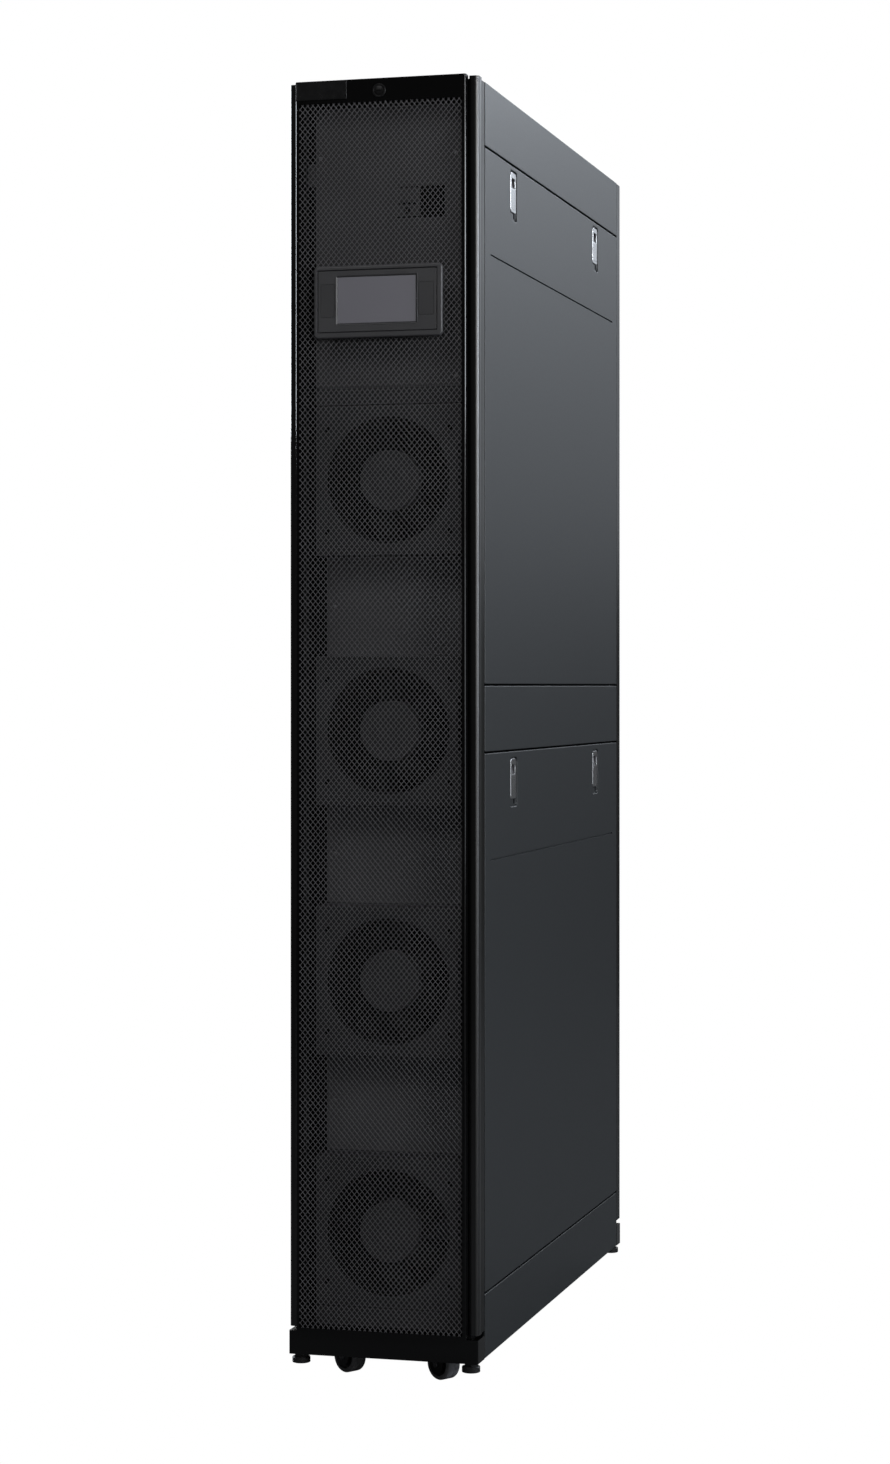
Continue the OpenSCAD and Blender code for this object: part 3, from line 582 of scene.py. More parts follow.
def pan(sx, y0, y1, z0, z1, depth, shell=None, re=1.7, rc=2.0, latches=None, groove=None):
    """Folded sheet with a rounded outer edge, on the side sx, with optional latch recesses and a pressed groove."""
    s = shell or Shell("x")
    X = lambda d: sx * (150.0 - d)
    cu, cv, w, h = (y0 + y1) / 2, (z0 + z1) / 2, y1 - y0, z1 - z0
    rings = [s.ring(rrect(cu, cv, w, h, rc, 4), X(depth))]
    for o, d in edge_profile(re, 4):
        rings.append(s.ring(rrect(cu, cv, w - 2 * o, h - 2 * o, max(rc - o, 0.4), 4), X(d)))
    s.loft(*rings)
    holes = []
    if latches is not None:
        for yc in LATCH_Y:
            prev = None
            for o, d in reversed(edge_profile(1.3, 4)):
                e = o
                ring = s.ring(rrect(yc, latches, SLOT_W + 2 * e, SLOT_H + 2 * e, 6 + e, 5), X(d))
                if prev is None:
                    holes.append(ring)
                else:
                    s.loft(prev, ring)
                prev = ring
            lo = s.ring(rrect(yc, latches, SLOT_W, SLOT_H, 6, 5), X(2.35))
            fl = s.ring(rrect(yc, latches, SLOT_W - 0.8, SLOT_H - 0.8, 5.6, 5), X(2.75))
            s.loft(prev, lo, fl)
            slots = []
            for u, v, sw, sh in ((yc, latches + 6.5, 30, 61), (yc + 11.5, latches - 30.0, 8, 10)):
                slots.append(s.ring(rrect(u, v, sw, sh, 2, 5), X(2.75)))
                s.loft(slots[-1], s.ring(rrect(u, v, sw, sh, 2, 5), X(6.0)))
            s.fill(fl, *slots)
    if groove is not None:
        g0, g1 = y0 + 35, y1 - 38
        prev = None
        for e, d in ((0.6, 0.0), (0.2, 0.12), (0.0, 0.45), (0.0, 3.0), (-0.2, 3.2)):
            ring = s.ring(rrect((g0 + g1) / 2, groove, g1 - g0 + 2 * e, 2.4 + 2 * e, 1.2 + e, 4), X(d))
            if prev is None:
                holes.append(ring)
            else:
                s.loft(prev, ring)
            prev = ring
        s.fill(prev)
    s.fill(rings[-1], *holes)
    return s


for level, (z0, z1, lz, gz) in {"upper": (1069.5, 1889.0, 1842.3, 1729.0), "lower": (141.0, 964.0, 915.2, 799.3)}.items():
    for side, sx in (("right", 1), ("left", -1)):
        body = f"side_panel_{level}_{side}"
        s = pan(sx, Y0, Y1, z0 + 0.6, z1 - 0.6, 12.0, latches=lz, groove=gz, re=1.2)
        s.done(f"{body}_skin", body, [panel, gasket_mat], "panel_grey", replaces=(body,), thick=1.2)

for node, z0, z1, top in (("top_rails", 1891.0, 1988.5, True), ("mid_rails", 966.0, 1067.5, False), ("bottom_rails", 41.0, 139.0, False)):
    s = Shell("x")
    for sx in (1, -1):
        pan(sx, Y0, Y1, z0 + (0.5 if z0 > 100 else 0), z1 - (0.5 if z1 < 1900 else 0), 3.4, shell=s, re=1.2)
    s.done(f"{node}_skin", "cabinet", [panel, gasket_mat], "panel_grey", replaces=(node,), thick=1.1)

# ------------------------------------------------------------------ panel latches


def latch(name, sx, yc, lz):
    """Sliding grip: silver plate with a finger window whose floor slopes in, and its block behind."""
    zc = lz + SLOT_H / 2 - 2.5 - 31.5
    s = Shell("x")
    X = lambda d: sx * (150.0 - d)
    w, h, rc = 34.0, 63.0, 5.0
    back = s.ring(rrect(yc, zc, w, h, rc, 6), X(2.6))
    rings = [back]
    for o, d in edge_profile(0.9, 4):
        rings.append(s.ring(rrect(yc, zc, w - 2 * o, h - 2 * o, rc - o, 6), X(0.6 + d)))
    s.loft(*rings)
    # window with a rounded rim
    zw = zc + 31.5 - 17
    prev, hole = None, None
    for o, d in reversed(edge_profile(0.6, 3)):
        ring = s.ring(rrect(yc, zw, 23 + 2 * o, 16 + 2 * o, 3 + o, 5), X(0.6 + d))
        if prev is None:
            hole = ring
        else:
            s.loft(prev, ring)
        prev = ring
    deep = s.ring(rrect(yc, zw, 23, 16, 3, 5), X(2.6))
    s.loft(prev, deep)
    # raised grip field on the lower half
    gz = zc - 10.0
    field = []
    for o, d in ((0.0, 0.6), (0.5, 0.42), (1.0, 0.34)):
        field.append(s.ring(rrect(yc, gz, 25 - 2 * o, 33 - 2 * o, 3 - o, 5), X(d)))
    s.fill(rings[-1], hole, field[0])
    s.loft(*field)
    s.fill(field[-1])
    s.mi = 1
    # sloping floor of the window: deep at the top, shallow at the bottom
    f = [s.bm.verts.new(to_xyz("x", yc + du, zw + dv, X(d))) for du, dv, d in
         ((-11.5, 8.0, 7.0), (11.5, 8.0, 7.0), (11.5, -8.0, 2.6), (-11.5, -8.0, 2.6))]
    s._face(f)
    t = [s.bm.verts.new(to_xyz("x", yc + du, zw + dv, X(d))) for du, dv, d in
         ((-11.5, 8.0, 2.4), (11.5, 8.0, 2.4), (11.5, -8.0, 2.4), (-11.5, -8.0, 2.4))]
    s._face((t[0], t[1], f[1], f[0]))
    s._face((t[1], t[2], f[2], f[1]))
    s._face((t[0], f[0], f[3], t[3]))
    s.mi = 0
    s.fill(back, deep)
    # block behind, in the slot
    bm = s.bm
    box_bm(bm, *sorted((X(11.2), X(7.2))), yc - 9, yc + 9, zc - 24, zc + 24, 1)
    return s


for level, lz in (("upper", 1842.3), ("lower", 915.2)):
    for side, sx in (("right", 1), ("left", -1)):
        for end, yc in (("front", LATCH_Y[0]), ("rear", LATCH_Y[1])):
            name = f"latch_{level}_{side}_{end}"
            s = latch(name, sx, yc, lz)
            s.done(f"{name}_grip", name, [silver, latch_dark], "latch_silver", replaces=(name,))

# ------------------------------------------------------------------ display, badge plate, locks
FACE = -540.5


def groove_rings(s, loop_args, y_face, gap, depth):
    """A narrow groove around a rectangle in the front face: returns (outer hole ring, inner ring of the island)."""
    cu, cv, w, h, r = loop_args
    a = s.ring(rrect(cu, cv, w + 2 * gap, h + 2 * gap, r + gap, 5), y_face)
    b = s.ring(rrect(cu, cv, w + 2 * gap, h + 2 * gap, r + gap, 5), y_face + depth)
    c = s.ring(rrect(cu, cv, w, h, r, 5), y_face + depth)
    d = s.ring(rrect(cu, cv, w, h, r, 5), y_face)
    s.loft(a, b, c, d)
    return a, d


s = Shell("y")
cx, cz, bw, bh = DISPLAY
yf = FACE - 7.0
rings = [s.ring(rrect(cx, cz, bw - 1.2, bh - 1.2, 6.4, 8), FACE), s.ring(rrect(cx, cz, bw, bh, 7, 8), FACE - 0.6)]
for o, d in edge_profile(2.4, 5):
    rings.append(s.ring(rrect(cx, cz, bw - 2 * o, bh - 2 * o, 7 - o, 8), yf + d))
s.loft(*rings)
s.fill(rings[0])
# dark gap around the inner field, which sits slightly lower
fx, fz = -3.0, 1652.5
a = s.ring(rrect(fx, fz, 190.4, 96.4, 2.2, 5), yf)
a2 = s.ring(rrect(fx, fz, 189.6, 95.6, 1.8, 5), yf + 0.5)
b = s.ring(rrect(fx, fz, 189.6, 95.6, 1.8, 5), yf + 3.0)
s.fill(rings[-1], a)
s.loft(a, a2, b)
c = s.ring(rrect(fx, fz, 186.6, 92.6, 1.2, 5), yf + 3.0)
d1 = s.ring(rrect(fx, fz, 186.6, 92.6, 1.2, 5), yf + 1.2)
d2 = s.ring(rrect(fx, fz, 185.8, 91.8, 0.9, 5), yf + 0.9)
s.loft(b, c, d1, d2)
# screen opening with a sloping frame
sx_, sz_ = -4.0, 1654.0
e1 = s.ring(rrect(sx_, sz_, 129.5, 76.5, 2.2, 5), yf + 0.9)
e0 = s.ring(rrect(sx_, sz_, 128.9, 75.9, 2.0, 5), yf + 0.35)
e2 = s.ring(rrect(sx_, sz_, 127.4, 74.4, 1.6, 5), yf + 0.35)
e3 = s.ring(rrect(sx_, sz_, 123.2, 70.2, 1.2, 5), yf + 2.3)
e4 = s.ring(rrect(sx_, sz_, 123.2, 70.2, 1.2, 5), yf + 4.2)
# flaps left and right of the screen
flaps = []
for fx0, fx1 in ((-92.0, -71.0), (62.5, 86.0)):
    o_, i_ = groove_rings(s, ((fx0 + fx1) / 2, 1653.7, fx1 - fx0, 49.5, 1.2), yf + 0.9, 0.45, 1.0)
    flaps.append((o_, i_))
s.fill(d2, e1, *[f[0] for f in flaps])
s.mi = 1
for _, i_ in flaps:
    s.fill(i_)
s.mi = 0
s.loft(e1, e0, e2, e3, e4)
s.fill(e4)
s.done("display_bezel_body", "front_door", [bezel_mat, flap_mat], "bezel_plastic", replaces=("display_bezel",), angle=40)

bm = bmesh.new()
box_bm(bm, -2 - 93.2, -2 + 93.2, FACE - 0.4, FACE + 12.5, 1651.5 - 46.7, 1651.5 + 46.7)
housing = finish_obj("display_housing", bm, "front_door", bezel_mat, "bezel_plastic", replaces=("display_bezel",))
bevel_mod(housing, 1.6, 3)

s = Shell("y")
ys = FACE - 5.1
r0 = s.ring(rrect(sx_, sz_, 123.0, 70.0, 1.2, 5), FACE - 3.0)
r1 = s.ring(rrect(sx_, sz_, 123.0, 70.0, 1.2, 5), ys + 0.25)
r2 = s.ring(rrect(sx_, sz_, 122.5, 69.5, 1.0, 5), ys)
s.loft(r0, r1, r2)
s.fill(r0)
s.fill(r2)
s.done("display_screen_pane", "front_door", screen_mat, "screen_glass", replaces=("display_screen",))

# small status lens beside the right flap
bm = bmesh.new()
lathe(bm, [(0.0, 0.0), (0.9, 0.0), (0.9, 0.35), (0.6, 0.6), (0.0, 0.75)], (59.5, yf + 1.0, 1653.5), (0, -1, 0), 24)
finish_obj("display_status_lens", bm, "front_door", screen_mat, "screen_glass", weld=0)

_m = Mat("badge_plate", (0.0040, 0.0040, 0.0043), 0.25, spec=0.25)
_m.vary(_m.noise(40, 3), 0.12)
_m.vary_rough(_m.noise(90, 3), 0.22, 0.28)
_m.bump(_m.noise(1500, 2), 0.003)
badge_mat = _m.m
s = Shell("y")
bx_, bz_, bw_, bh_ = -93.6, 1976.1, 81.5, 29.0
rings = [s.ring(rrect(bx_, bz_, bw_, bh_, 1.6, 5), FACE)]
for o, d in edge_profile(0.6, 3):
    rings.append(s.ring(rrect(bx_, bz_, bw_ - 2 * o, bh_ - 2 * o, 1.6 - o, 5), FACE - 1.8 + d))
r_in = s.ring(rrect(bx_, bz_, bw_ - 3.2, bh_ - 3.2, 1.0, 5), FACE - 1.8)
r_in2 = s.ring(rrect(bx_, bz_, bw_ - 4.0, bh_ - 4.0, 0.8, 5), FACE - 1.45)
s.loft(*rings)
s.fill(rings[0])
s.fill(rings[-1], r_in)
s.loft(r_in, r_in2)
s.fill(r_in2)
s.done("badge_plate_blank", "front_door", badge_mat, "door_black", replaces=("badge_plate",))

LX, LZ = -1.6, 1972.0


def cam_geometry(bm, sy):
    lathe(bm, [(0.0, 0.0), (8.0, 0.0), (8.0, 15.5), (5.0, 15.5), (5.0, 24.5), (0.0, 24.5)], (LX, sy * -540.0, LZ), (0, sy, 0), 40)
    cam = bmesh.new()
    pts = [(LX + 6.5 * math.cos(a), LZ + 6.5 * math.sin(a)) for a in [math.radians(t) for t in range(40, 321, 14)]]
    pts += [(LX + 8 + 3.5 * math.cos(a), LZ + 3.5 * math.sin(a)) for a in [math.radians(t) for t in range(-90, 91, 15)]]
    lo = [cam.verts.new((u * MM, sy * -516.5 * MM, v * MM)) for u, v in pts]
    hi = [cam.verts.new((u * MM, sy * -514.0 * MM, v * MM)) for u, v in pts]
    cam.faces.new(lo)
    cam.faces.new(list(reversed(hi)))
    for i in range(len(pts)):
        j = (i + 1) % len(pts)
        cam.faces.new((lo[i], hi[i], hi[j], lo[j]))
    bmesh.ops.recalc_face_normals(cam, faces=cam.faces)
    tmp = bpy.data.meshes.new("tmp_cam")
    cam.to_mesh(tmp)
    cam.free()
    bm.from_mesh(tmp)
    bpy.data.meshes.remove(tmp)


# front lock: rim, sunk core, and a key slot painted as a near-black plate that stands in for the slot's shade
bm = bmesh.new()
lathe(bm, [(0.0, -0.2), (10.8, -0.2), (10.8, 0.9), (10.2, 1.7), (9.3, 2.0), (8.3, 1.9), (7.7, 1.45), (7.6, 1.1), (7.3, 1.1), (7.2, 1.6), (6.9, 1.75),
           (0.0, 1.75)], (LX, FACE, LZ), (0, -1, 0), 72)
cam_geometry(bm, 1)
finish_obj("front_lock_cylinder", bm, "front_lock", lock_mat, "lock_metal", replaces=("front_door_lock",), weld=0, angle=40)
bm = bmesh.new()
# painted shade: this near-black plate, just proud of the core, stands in for the dark inside of the key slot
box_bm(bm, LX - 4.6, LX + 4.6, FACE - 1.86, FACE - 1.0, LZ - 0.85, LZ + 0.85, 0)
key_slot_shade = finish_obj("front_lock_key_slot", bm, "front_lock", gasket_mat, "lock_metal")
bevel_mod(key_slot_shade, 0.3, 2)

# rear lock with a wing knob
bm = bmesh.new()
lathe(bm, [(0.0, -0.2), (13.0, -0.2), (13.0, 0.9), (12.3, 1.7), (11.2, 2.0), (0.0, 2.0)], (LX, 540.5, LZ), (0, 1, 0), 72)
cam_geometry(bm, -1)
finish_obj("rear_lock_cylinder", bm, "rear_lock", lock_mat, "lock_metal", replaces=("rear_door_lock",), weld=0, angle=40)
s = Shell("y")
rings = []
for o, y in ((0.0, 541.0), (0.0, 545.6), (0.35, 546.6), (1.1, 547.3), (1.6, 547.4)):
    rings.append(s.ring(rrect(LX, LZ, 22 - 2 * o, 6 - 2 * o, 2.5 - o, 6), y))
s.loft(*rings)
s.fill(rings[0])
s.fill(rings[-1])
s.done("rear_lock_wing", "rear_lock", lock_mat, "lock_metal")

# ------------------------------------------------------------------ frame, doors, covers and roof
post_black = powder("post_black", (0.0014, 0.0015, 0.0016), 0.30, 0.28, grain=0.004, dr=0.02)
cad_look("corner_posts", post_black, 0.5)
for node in ("floor_pan", "frame_bars", "door_fittings"):
    cad_look(node, gasket_mat if node == "frame_bars" else black, 0.5)
cad_look("base_covers", black, 0.7)
cad_look("front_trims", trim_black, 0.5)
roof_mat = powder("roof_powder", (0.0085, 0.0088, 0.0095), 0.55, 0.25, grain=0.006, dr=0.02)
cad_look("roof_panel", roof_mat, 0.35)
cad_look("front_door_frame", door_black, 0.7)
cad_look("rear_door_frame", door_black, 0.7)


# near-black strips behind the front trims: painted shadow of the gap between each trim and its post
bm = bmesh.new()
for sx in (-1, 1):
    box_bm(bm, *sorted((sx * 148.9, sx * 149.62)), -503.75, -500.0, 84.0, 1986.5)
trim_gap_shade = finish_obj("trim_gap_shadow_strips", bm, "cabinet", gasket_mat, "frame_black", weld=0)
bevel_mod(trim_gap_shade, 0.25, 2)


def screws(name, body, points, axis, r=3.4, h=1.4, mat=None, slot="frame_black", n=24, drive=True):
    """Low pan heads with a round socket."""
    bm = bmesh.new()
    for p in points:
        prof = [(0.0, -0.6), (r, -0.6), (r, h * 0.45), (r * 0.93, h * 0.75), (r * 0.75, h), (r * 0.42, h), (r * 0.36, h * 0.9), (r * 0.34, h * 0.35),
                (0.0, h * 0.3)] if drive else [(0.0, -0.6), (r, -0.6), (r, h * 0.4), (r * 0.9, h * 0.75), (r * 0.6, h * 0.95), (0.0, h)]
        lathe(bm, prof, p, axis, n)
    return finish_obj(name, bm, body, mat or screw_mat, slot, weld=0, angle=40)


screws("roof_screws", "cabinet", [(sx * x, y, 1988.45) for sx in (-1, 1) for x, y in ((140, -430), (140, -180), (140, 70), (140, 320), (140, 490))],
       (0, 0, 1), r=4.0, h=1.6)
screws("plinth_screws_rear", "cabinet", [(sx * 118, 526.4, 59) for sx in (-1, 1)], (0, 1, 0), r=3.6, h=1.2)

# ------------------------------------------------------------------ fan modules
FAN_Z = [228.0 + 385.0 * n for n in range(4)]
HUB_R = 46.0


def plate_loop(zc, o=0.0):
    """Outline of a fan plate with the small notch in its right edge, shrunk by o."""
    x, h, c = 116 - o, 115 - o, 1.5
    pts = [(-x + c, zc - h), (x - c, zc - h), (x, zc - h + c), (x, zc - 30 - o), (110 - o, zc - 30 - o), (110 - o, zc + 54 + o), (x, zc + 54 + o),
           (x, zc + h - c), (x - c, zc + h), (-x + c, zc + h), (-x, zc + h - c), (-x, zc - h + c)]
    return pts


s = Shell("y")
for zc in FAN_Z:
    rings = [s.ring(plate_loop(zc), -437.0), s.ring(plate_loop(zc), -495.6), s.ring(plate_loop(zc, 0.4), -496.6), s.ring(plate_loop(zc, 1.3), -497.0)]
    s.loft(*rings)
    mouth = [s.ring(circ(0, zc, 98.5, 96), -497.0)]
    for i in range(1, 6):
        a = math.pi / 2 * i / 5
        mouth.append(s.ring(circ(0, zc, 98.5 - 2.5 * math.sin(a), 96), -497 + 2.5 * (1 - math.cos(a))))
    mouth.append(s.ring(circ(0, zc, 96, 96), -437.0))
    s.loft(*mouth[:3])
    # painted shade: the inner wall of the mouth takes the near-black second material for the darkness inside the duct
    s.mi = 1
    s.loft(*mouth[2:])
    s.mi = 0
    pits = []
    for sx in (-1, 1):
        for sz in (-1, 1):
            a_ = s.ring(circ(sx * 98, zc + sz * 79, 5.2, 20), -497.0)
            b_ = s.ring(circ(sx * 98, zc + sz * 79, 4.7, 20), -496.6)
            c_ = s.ring(circ(sx * 98, zc + sz * 79, 4.5, 20), -494.4)
            s.loft(a_, b_, c_)
            s.mi = 1
            s.fill(c_)
            s.mi = 0
            pits.append(a_)
    s.fill(rings[-1], mouth[0], *pits)
s.done("fan_plate_shells", "cabinet", [plate_mat, gasket_mat], "inner_sheet", replaces=("fan_plates",), thick=1.5)

screws("fan_plate_screws", "cabinet", [(sx * 98, -495.0, zc + sz * 79) for zc in FAN_Z for sx in (-1, 1) for sz in (-1, 1)], (0, -1, 0), r=3.4, h=1.2,
       mat=gasket_mat, slot="fan_black")

bm = bmesh.new()
for zc in FAN_Z:
    for a in (45, 135):
        t = math.radians(a)
        ux, uz = math.cos(t), math.sin(t)
        for d0, d1 in ((33.0, 96.5), (-96.5, -33.0)):
            c = [(-442, 4), (-442, -4), (-437, -4), (-437, 4)]
            lo = [bm.verts.new(((ux * d0 - uz * w) * MM, y * MM, (zc + uz * d0 + ux * w) * MM)) for y, w in c]
            hi = [bm.verts.new(((ux * d1 - uz * w) * MM, y * MM, (zc + uz * d1 + ux * w) * MM)) for y, w in c]
            bm.faces.new(lo)
            bm.faces.new(list(reversed(hi)))
            for i in range(4):
                j = (i + 1) % 4
                bm.faces.new((lo[i], hi[i], hi[j], lo[j]))
    lathe(bm, [(30.2, 0.3), (30.2, 5.0), (33.5, 5.0), (34.0, 4.5), (34.0, 0.5), (33.5, 0.0), (30.5, 0.0)], (0, -442, zc), (0, 1, 0), 72, close=True)
bmesh.ops.recalc_face_normals(bm, faces=bm.faces)
finish_obj("fan_carriers", bm, "cabinet", fan_black, "inner_sheet", weld=0)

bm = bmesh.new()
for zc in FAN_Z:
    # stator with cooling ribs, and its shaft
    prof = [(0.0, -26.0), (26.0, -26.0), (28.2, -24.5), (28.2, -4.0)]
    for k in range(5):
        y0 = -3.6 + k * 1.6
        prof += [(29.9, y0), (29.9, y0 + 0.8), (28.6, y0 + 0.8), (28.6, y0 + 1.5)]
    prof += [(25.0, 4.6), (22.0, 3.0), (0.0, 3.0)]
    lathe(bm, prof, (0, -437, zc), (0, 1, 0), 64)
    lathe(bm, [(0.0, -51.0), (3.4, -51.0), (4.0, -50.4), (4.0, -26.0), (0.0, -26.0)], (0, -437, zc), (0, 1, 0), 32)
_m = Mat("motor_metal", (0.10, 0.10, 0.105), 0.45, metallic=0.5)
_m.vary(_m.noise(60, 3), 0.12)
_m.vary_rough(_m.noise(180, 3), 0.36, 0.52)
_m.bump(_m.noise(900, 3), 0.02)
motor_mat = _m.m
finish_obj("fan_motor_stators", bm, "cabinet", motor_mat, "motor_metal", replaces=("fan_motors",), weld=0)


def rotor(n):
    zc = FAN_Z[n - 1]
    bm = bmesh.new()
    # hub cup with a round front edge, a shallow ring and a centre cap
    prof = [(0.0, -491.2), (7.5, -491.2), (8.5, -490.7), (9.5, -491.3), (10.5, -491.8), (31.0, -491.8), (32.0, -491.3), (33.0, -491.3), (34.0, -491.8), (HUB_R - 1.5, -491.9)]
    prof = [(r, y) for r, y in prof]
    for i in range(1, 6):
        a = math.pi / 2 * i / 5
        prof.append((HUB_R - 1.5 + 1.5 * math.sin(a), -492 + 1.5 * (1 - math.cos(a))))
    prof += [(HUB_R, -447.6), (HUB_R - 0.4, -447.0), (HUB_R - 2.4, -447.0), (HUB_R - 3.0, -447.6), (HUB_R - 3.0, -488.6), (HUB_R - 6.0, -489.4), (9.2, -489.4), (9.0, -472.4), (8.6, -472.0), (4.4, -472.0),
             (4.1, -472.4), (4.1, -488.6), (0.0, -488.8)]
    lathe(bm, prof, (0, 0, zc), (0, 1, 0), 96)
    finish_obj(f"fan_{n}_hub", bm, f"fan_{n}", hub_mat, "fan_black", replaces=(f"fan_rotor_{n}",), weld=0, angle=30)
    # seven twisted blades, swept forward a little
    bm = bmesh.new()
    rows, cols = 11, 9
    for k in range(7):
        th0 = 2 * math.pi * k / 7 + 0.2 * n
        sec = []
        for i in range(rows):
            t = i / (rows - 1)
            r = HUB_R - 1.0 + t * (92.6 - HUB_R + 1.0)
            pitch = math.radians(52 - 20 * t)
            chord = 42 + 12 * math.sin(math.pi * min(t * 0.75 + 0.1, 1))
            sweep = math.radians(16) * t * t
            ring = []
            for side in (1, -1):
                for j in range(cols):
                    u = j / (cols - 1) if side == 1 else 1 - j / (cols - 1)
                    if side == -1 and (j == 0 or j == cols - 1):
                        continue
                    thick = 1.7 * (0.35 + 1.3 * math.sqrt(max(u, 0)) * (1 - u)) * (1 - 0.35 * t)
                    camber = 3.2 * 4 * u * (1 - u) * (1 - 0.4 * t)
                    along = (u - 0.5) * chord
                    off = camber - 1.6 + side * thick / 2
                    y = -467 + along * math.cos(pitch) * 0.62 + off * math.sin(pitch)
                    arc = along * math.sin(pitch) * 0.95 - off * math.cos(pitch)
                    th = th0 + sweep + arc / r
                    ring.append(bm.verts.new((r * math.cos(th) * MM, max(-484.6, min(-449.4, y)) * MM, (zc + r * math.sin(th)) * MM)))
            sec.append(ring)
        m = len(sec[0])
        for a_, b_ in zip(sec, sec[1:]):
            for i in range(m):
                j = (i + 1) % m
                bm.faces.new((a_[i], a_[j], b_[j], b_[i]))
        bm.faces.new(list(reversed(sec[0])))
        bm.faces.new(sec[-1])
    bmesh.ops.recalc_face_normals(bm, faces=bm.faces)
    finish_obj(f"fan_{n}_blades", bm, f"fan_{n}", fan_black, "fan_black", weld=0, angle=50)


for n in (1, 2, 3, 4):
    rotor(n)

blanks = cad_look("blanking_panels", blank_mat, 0.5)
blanks.data.materials.append(plate_mat)
for f in blanks.data.polygons:
    if f.center.z > 1495 * MM or f.center.z < 160 * MM:
        f.material_index = 1                      # the bar under the electrical box and the sill are as dark as the fan plates
cad_look("electrical_box", inner, 0.5)
mods = cad_look("power_modules", inner, 0.4)
mods.data.materials.append(gasket_mat)
for f in mods.data.polygons:
    if f.center.x > 50.5 * MM:
        f.material_index = 1                      # the right module is a grille, given the near-black gasket finish as painted shade for its deep holes; the left one a plain cover
screws("blank_screws", "cabinet", [(sx * 104, -437.1, z) for z in (420.5, 805.5, 1190.5) for sx in (-1, 1)], (0, -1, 0), r=3.2, h=1.2, slot="inner_sheet")
screws("box_screws", "cabinet", [(sx * 108, -497.1, z) for z in (1540, 1700, 1880, 1945) for sx in (-1, 1)], (0, -1, 0), r=3.0, h=1.1, slot="inner_sheet")

# cover edges, handles and sockets on the power modules
bm = bmesh.new()
for x0, x1 in ((14.9, 49.7), (51.3, 90.1)):
    box_bm(bm, x0, x1, -498.4, -497.2, 1783.6, 1785.4)
    box_bm(bm, x0, x1, -498.4, -497.2, 1829.8, 1831.6)
box_bm(bm, 18, 46, -498.6, -497.2, 1804, 1807)
box_bm(bm, 27, 37, -499.0, -497.2, 1790, 1799)
trim = finish_obj("power_module_trim", bm, "cabinet", trim_black, "fan_black", weld=0)
bevel_mod(trim, 0.3, 2)

# angle bracket that holds the wiring at the upper left
bm = bmesh.new()
box_bm(bm, -128.5, -117.0, -497.0, -495.5, 1838, 1872)
box_bm(bm, -118.5, -117.0, -497.0, -470.0, 1838, 1872)
br = finish_obj("wiring_bracket", bm, "cabinet", inner, "inner_sheet", weld=0)
bevel_mod(br, 0.4, 2)

# ------------------------------------------------------------------ coil and water side
ZB, ZT = 196.0, 1880.0
bm = bmesh.new()
k = 0
z = ZB
while z <= ZT + 0.01:
    box_bm(bm, -92.9, 82.9, -149.6, -40.4, z - 0.28, z + 0.28)
    z += 4.21
bmesh.ops.recalc_face_normals(bm, faces=bm.faces)
finish_obj("coil_fins", bm, "cabinet", coil_shade_black, "coil_aluminium", replaces=("cooling_coil",), weld=0)

bm = bmesh.new()
for x0, x1 in ((-95, -93), (83, 85)):
    box_bm(bm, x0, x1, -152, -38, 66, 1884)
for x0, x1, sx in ((-93, -83, 1), (73, 83, -1)):
    box_bm(bm, x0, x1, -151.4, -150.0, 196, 1884)
    box_bm(bm, x0, x1, -40.0, -38.6, 196, 1884)
box_bm(bm, -93, 83, -151.4, -38.6, 1881.5, 1883.0)
box_bm(bm, -93, 83, -151.4, -38.6, 193.0, 194.5)
bmesh.ops.recalc_face_normals(bm, faces=bm.faces)
ends = finish_obj("coil_end_plates", bm, "cabinet", coil_shade_black, "coil_aluminium", weld=0)
bevel_mod(ends, 0.3, 1)


def tube(bm, pts, r, n=16, mi=0, cap=True):
    """Round tube through points in mm."""
    pts = [Vector(p) for p in pts]
    rings, up = [], None
    for i, p in enumerate(pts):
        d = (pts[min(i + 1, len(pts) - 1)] - pts[max(i - 1, 0)]).normalized()
        if up is None:
            up = d.orthogonal().normalized()
        up = (up - d * up.dot(d)).normalized()
        v = d.cross(up)
        rings.append([bm.verts.new((p + (up * math.cos(2 * math.pi * k / n) + v * math.sin(2 * math.pi * k / n)) * r) * MM) for k in range(n)])
    for a_, b_ in zip(rings, rings[1:]):
        for k in range(n):
            j = (k + 1) % n
            f = bm.faces.new((a_[k], a_[j], b_[j], b_[k]))
            f.material_index = mi
    if cap:
        bm.faces.new(list(reversed(rings[0]))).material_index = mi
        bm.faces.new(rings[-1]).material_index = mi


bm = bmesh.new()
step = (ZT - ZB) / 10
for i in range(10):
    zc = ZB + (i + 0.5) * step
    for y in (-70, -120):
        arc = [(84.0, y, zc - 19)] + [(88.5 + 19 * math.sin(math.pi * t / 12), y, zc - 19 * math.cos(math.pi * t / 12)) for t in range(13)] + [(84.0, y, zc + 19)]
        tube(bm, arc, 6.0, 16)
    tube(bm, [(-94.0, -70, zc - 19), (-109, -70, zc - 19)], 5.0, 16)
    tube(bm, [(-94.0, -120, zc + 19), (-109, -120, zc + 19)], 5.0, 16)
lathe(bm, [(0, 215), (7, 215.4), (10.2, 217.5), (11, 221), (11, 1784), (10.2, 1787.5), (7, 1789.6), (0, 1790)], (-109, -70, 0), (0, 0, 1), 40)
lathe(bm, [(0, 280), (7, 280.4), (10.2, 282.5), (11, 286), (11, 1864), (10.2, 1867.5), (7, 1869.6), (0, 1870)], (-109, -120, 0), (0, 0, 1), 40)
bmesh.ops.recalc_face_normals(bm, faces=bm.faces)
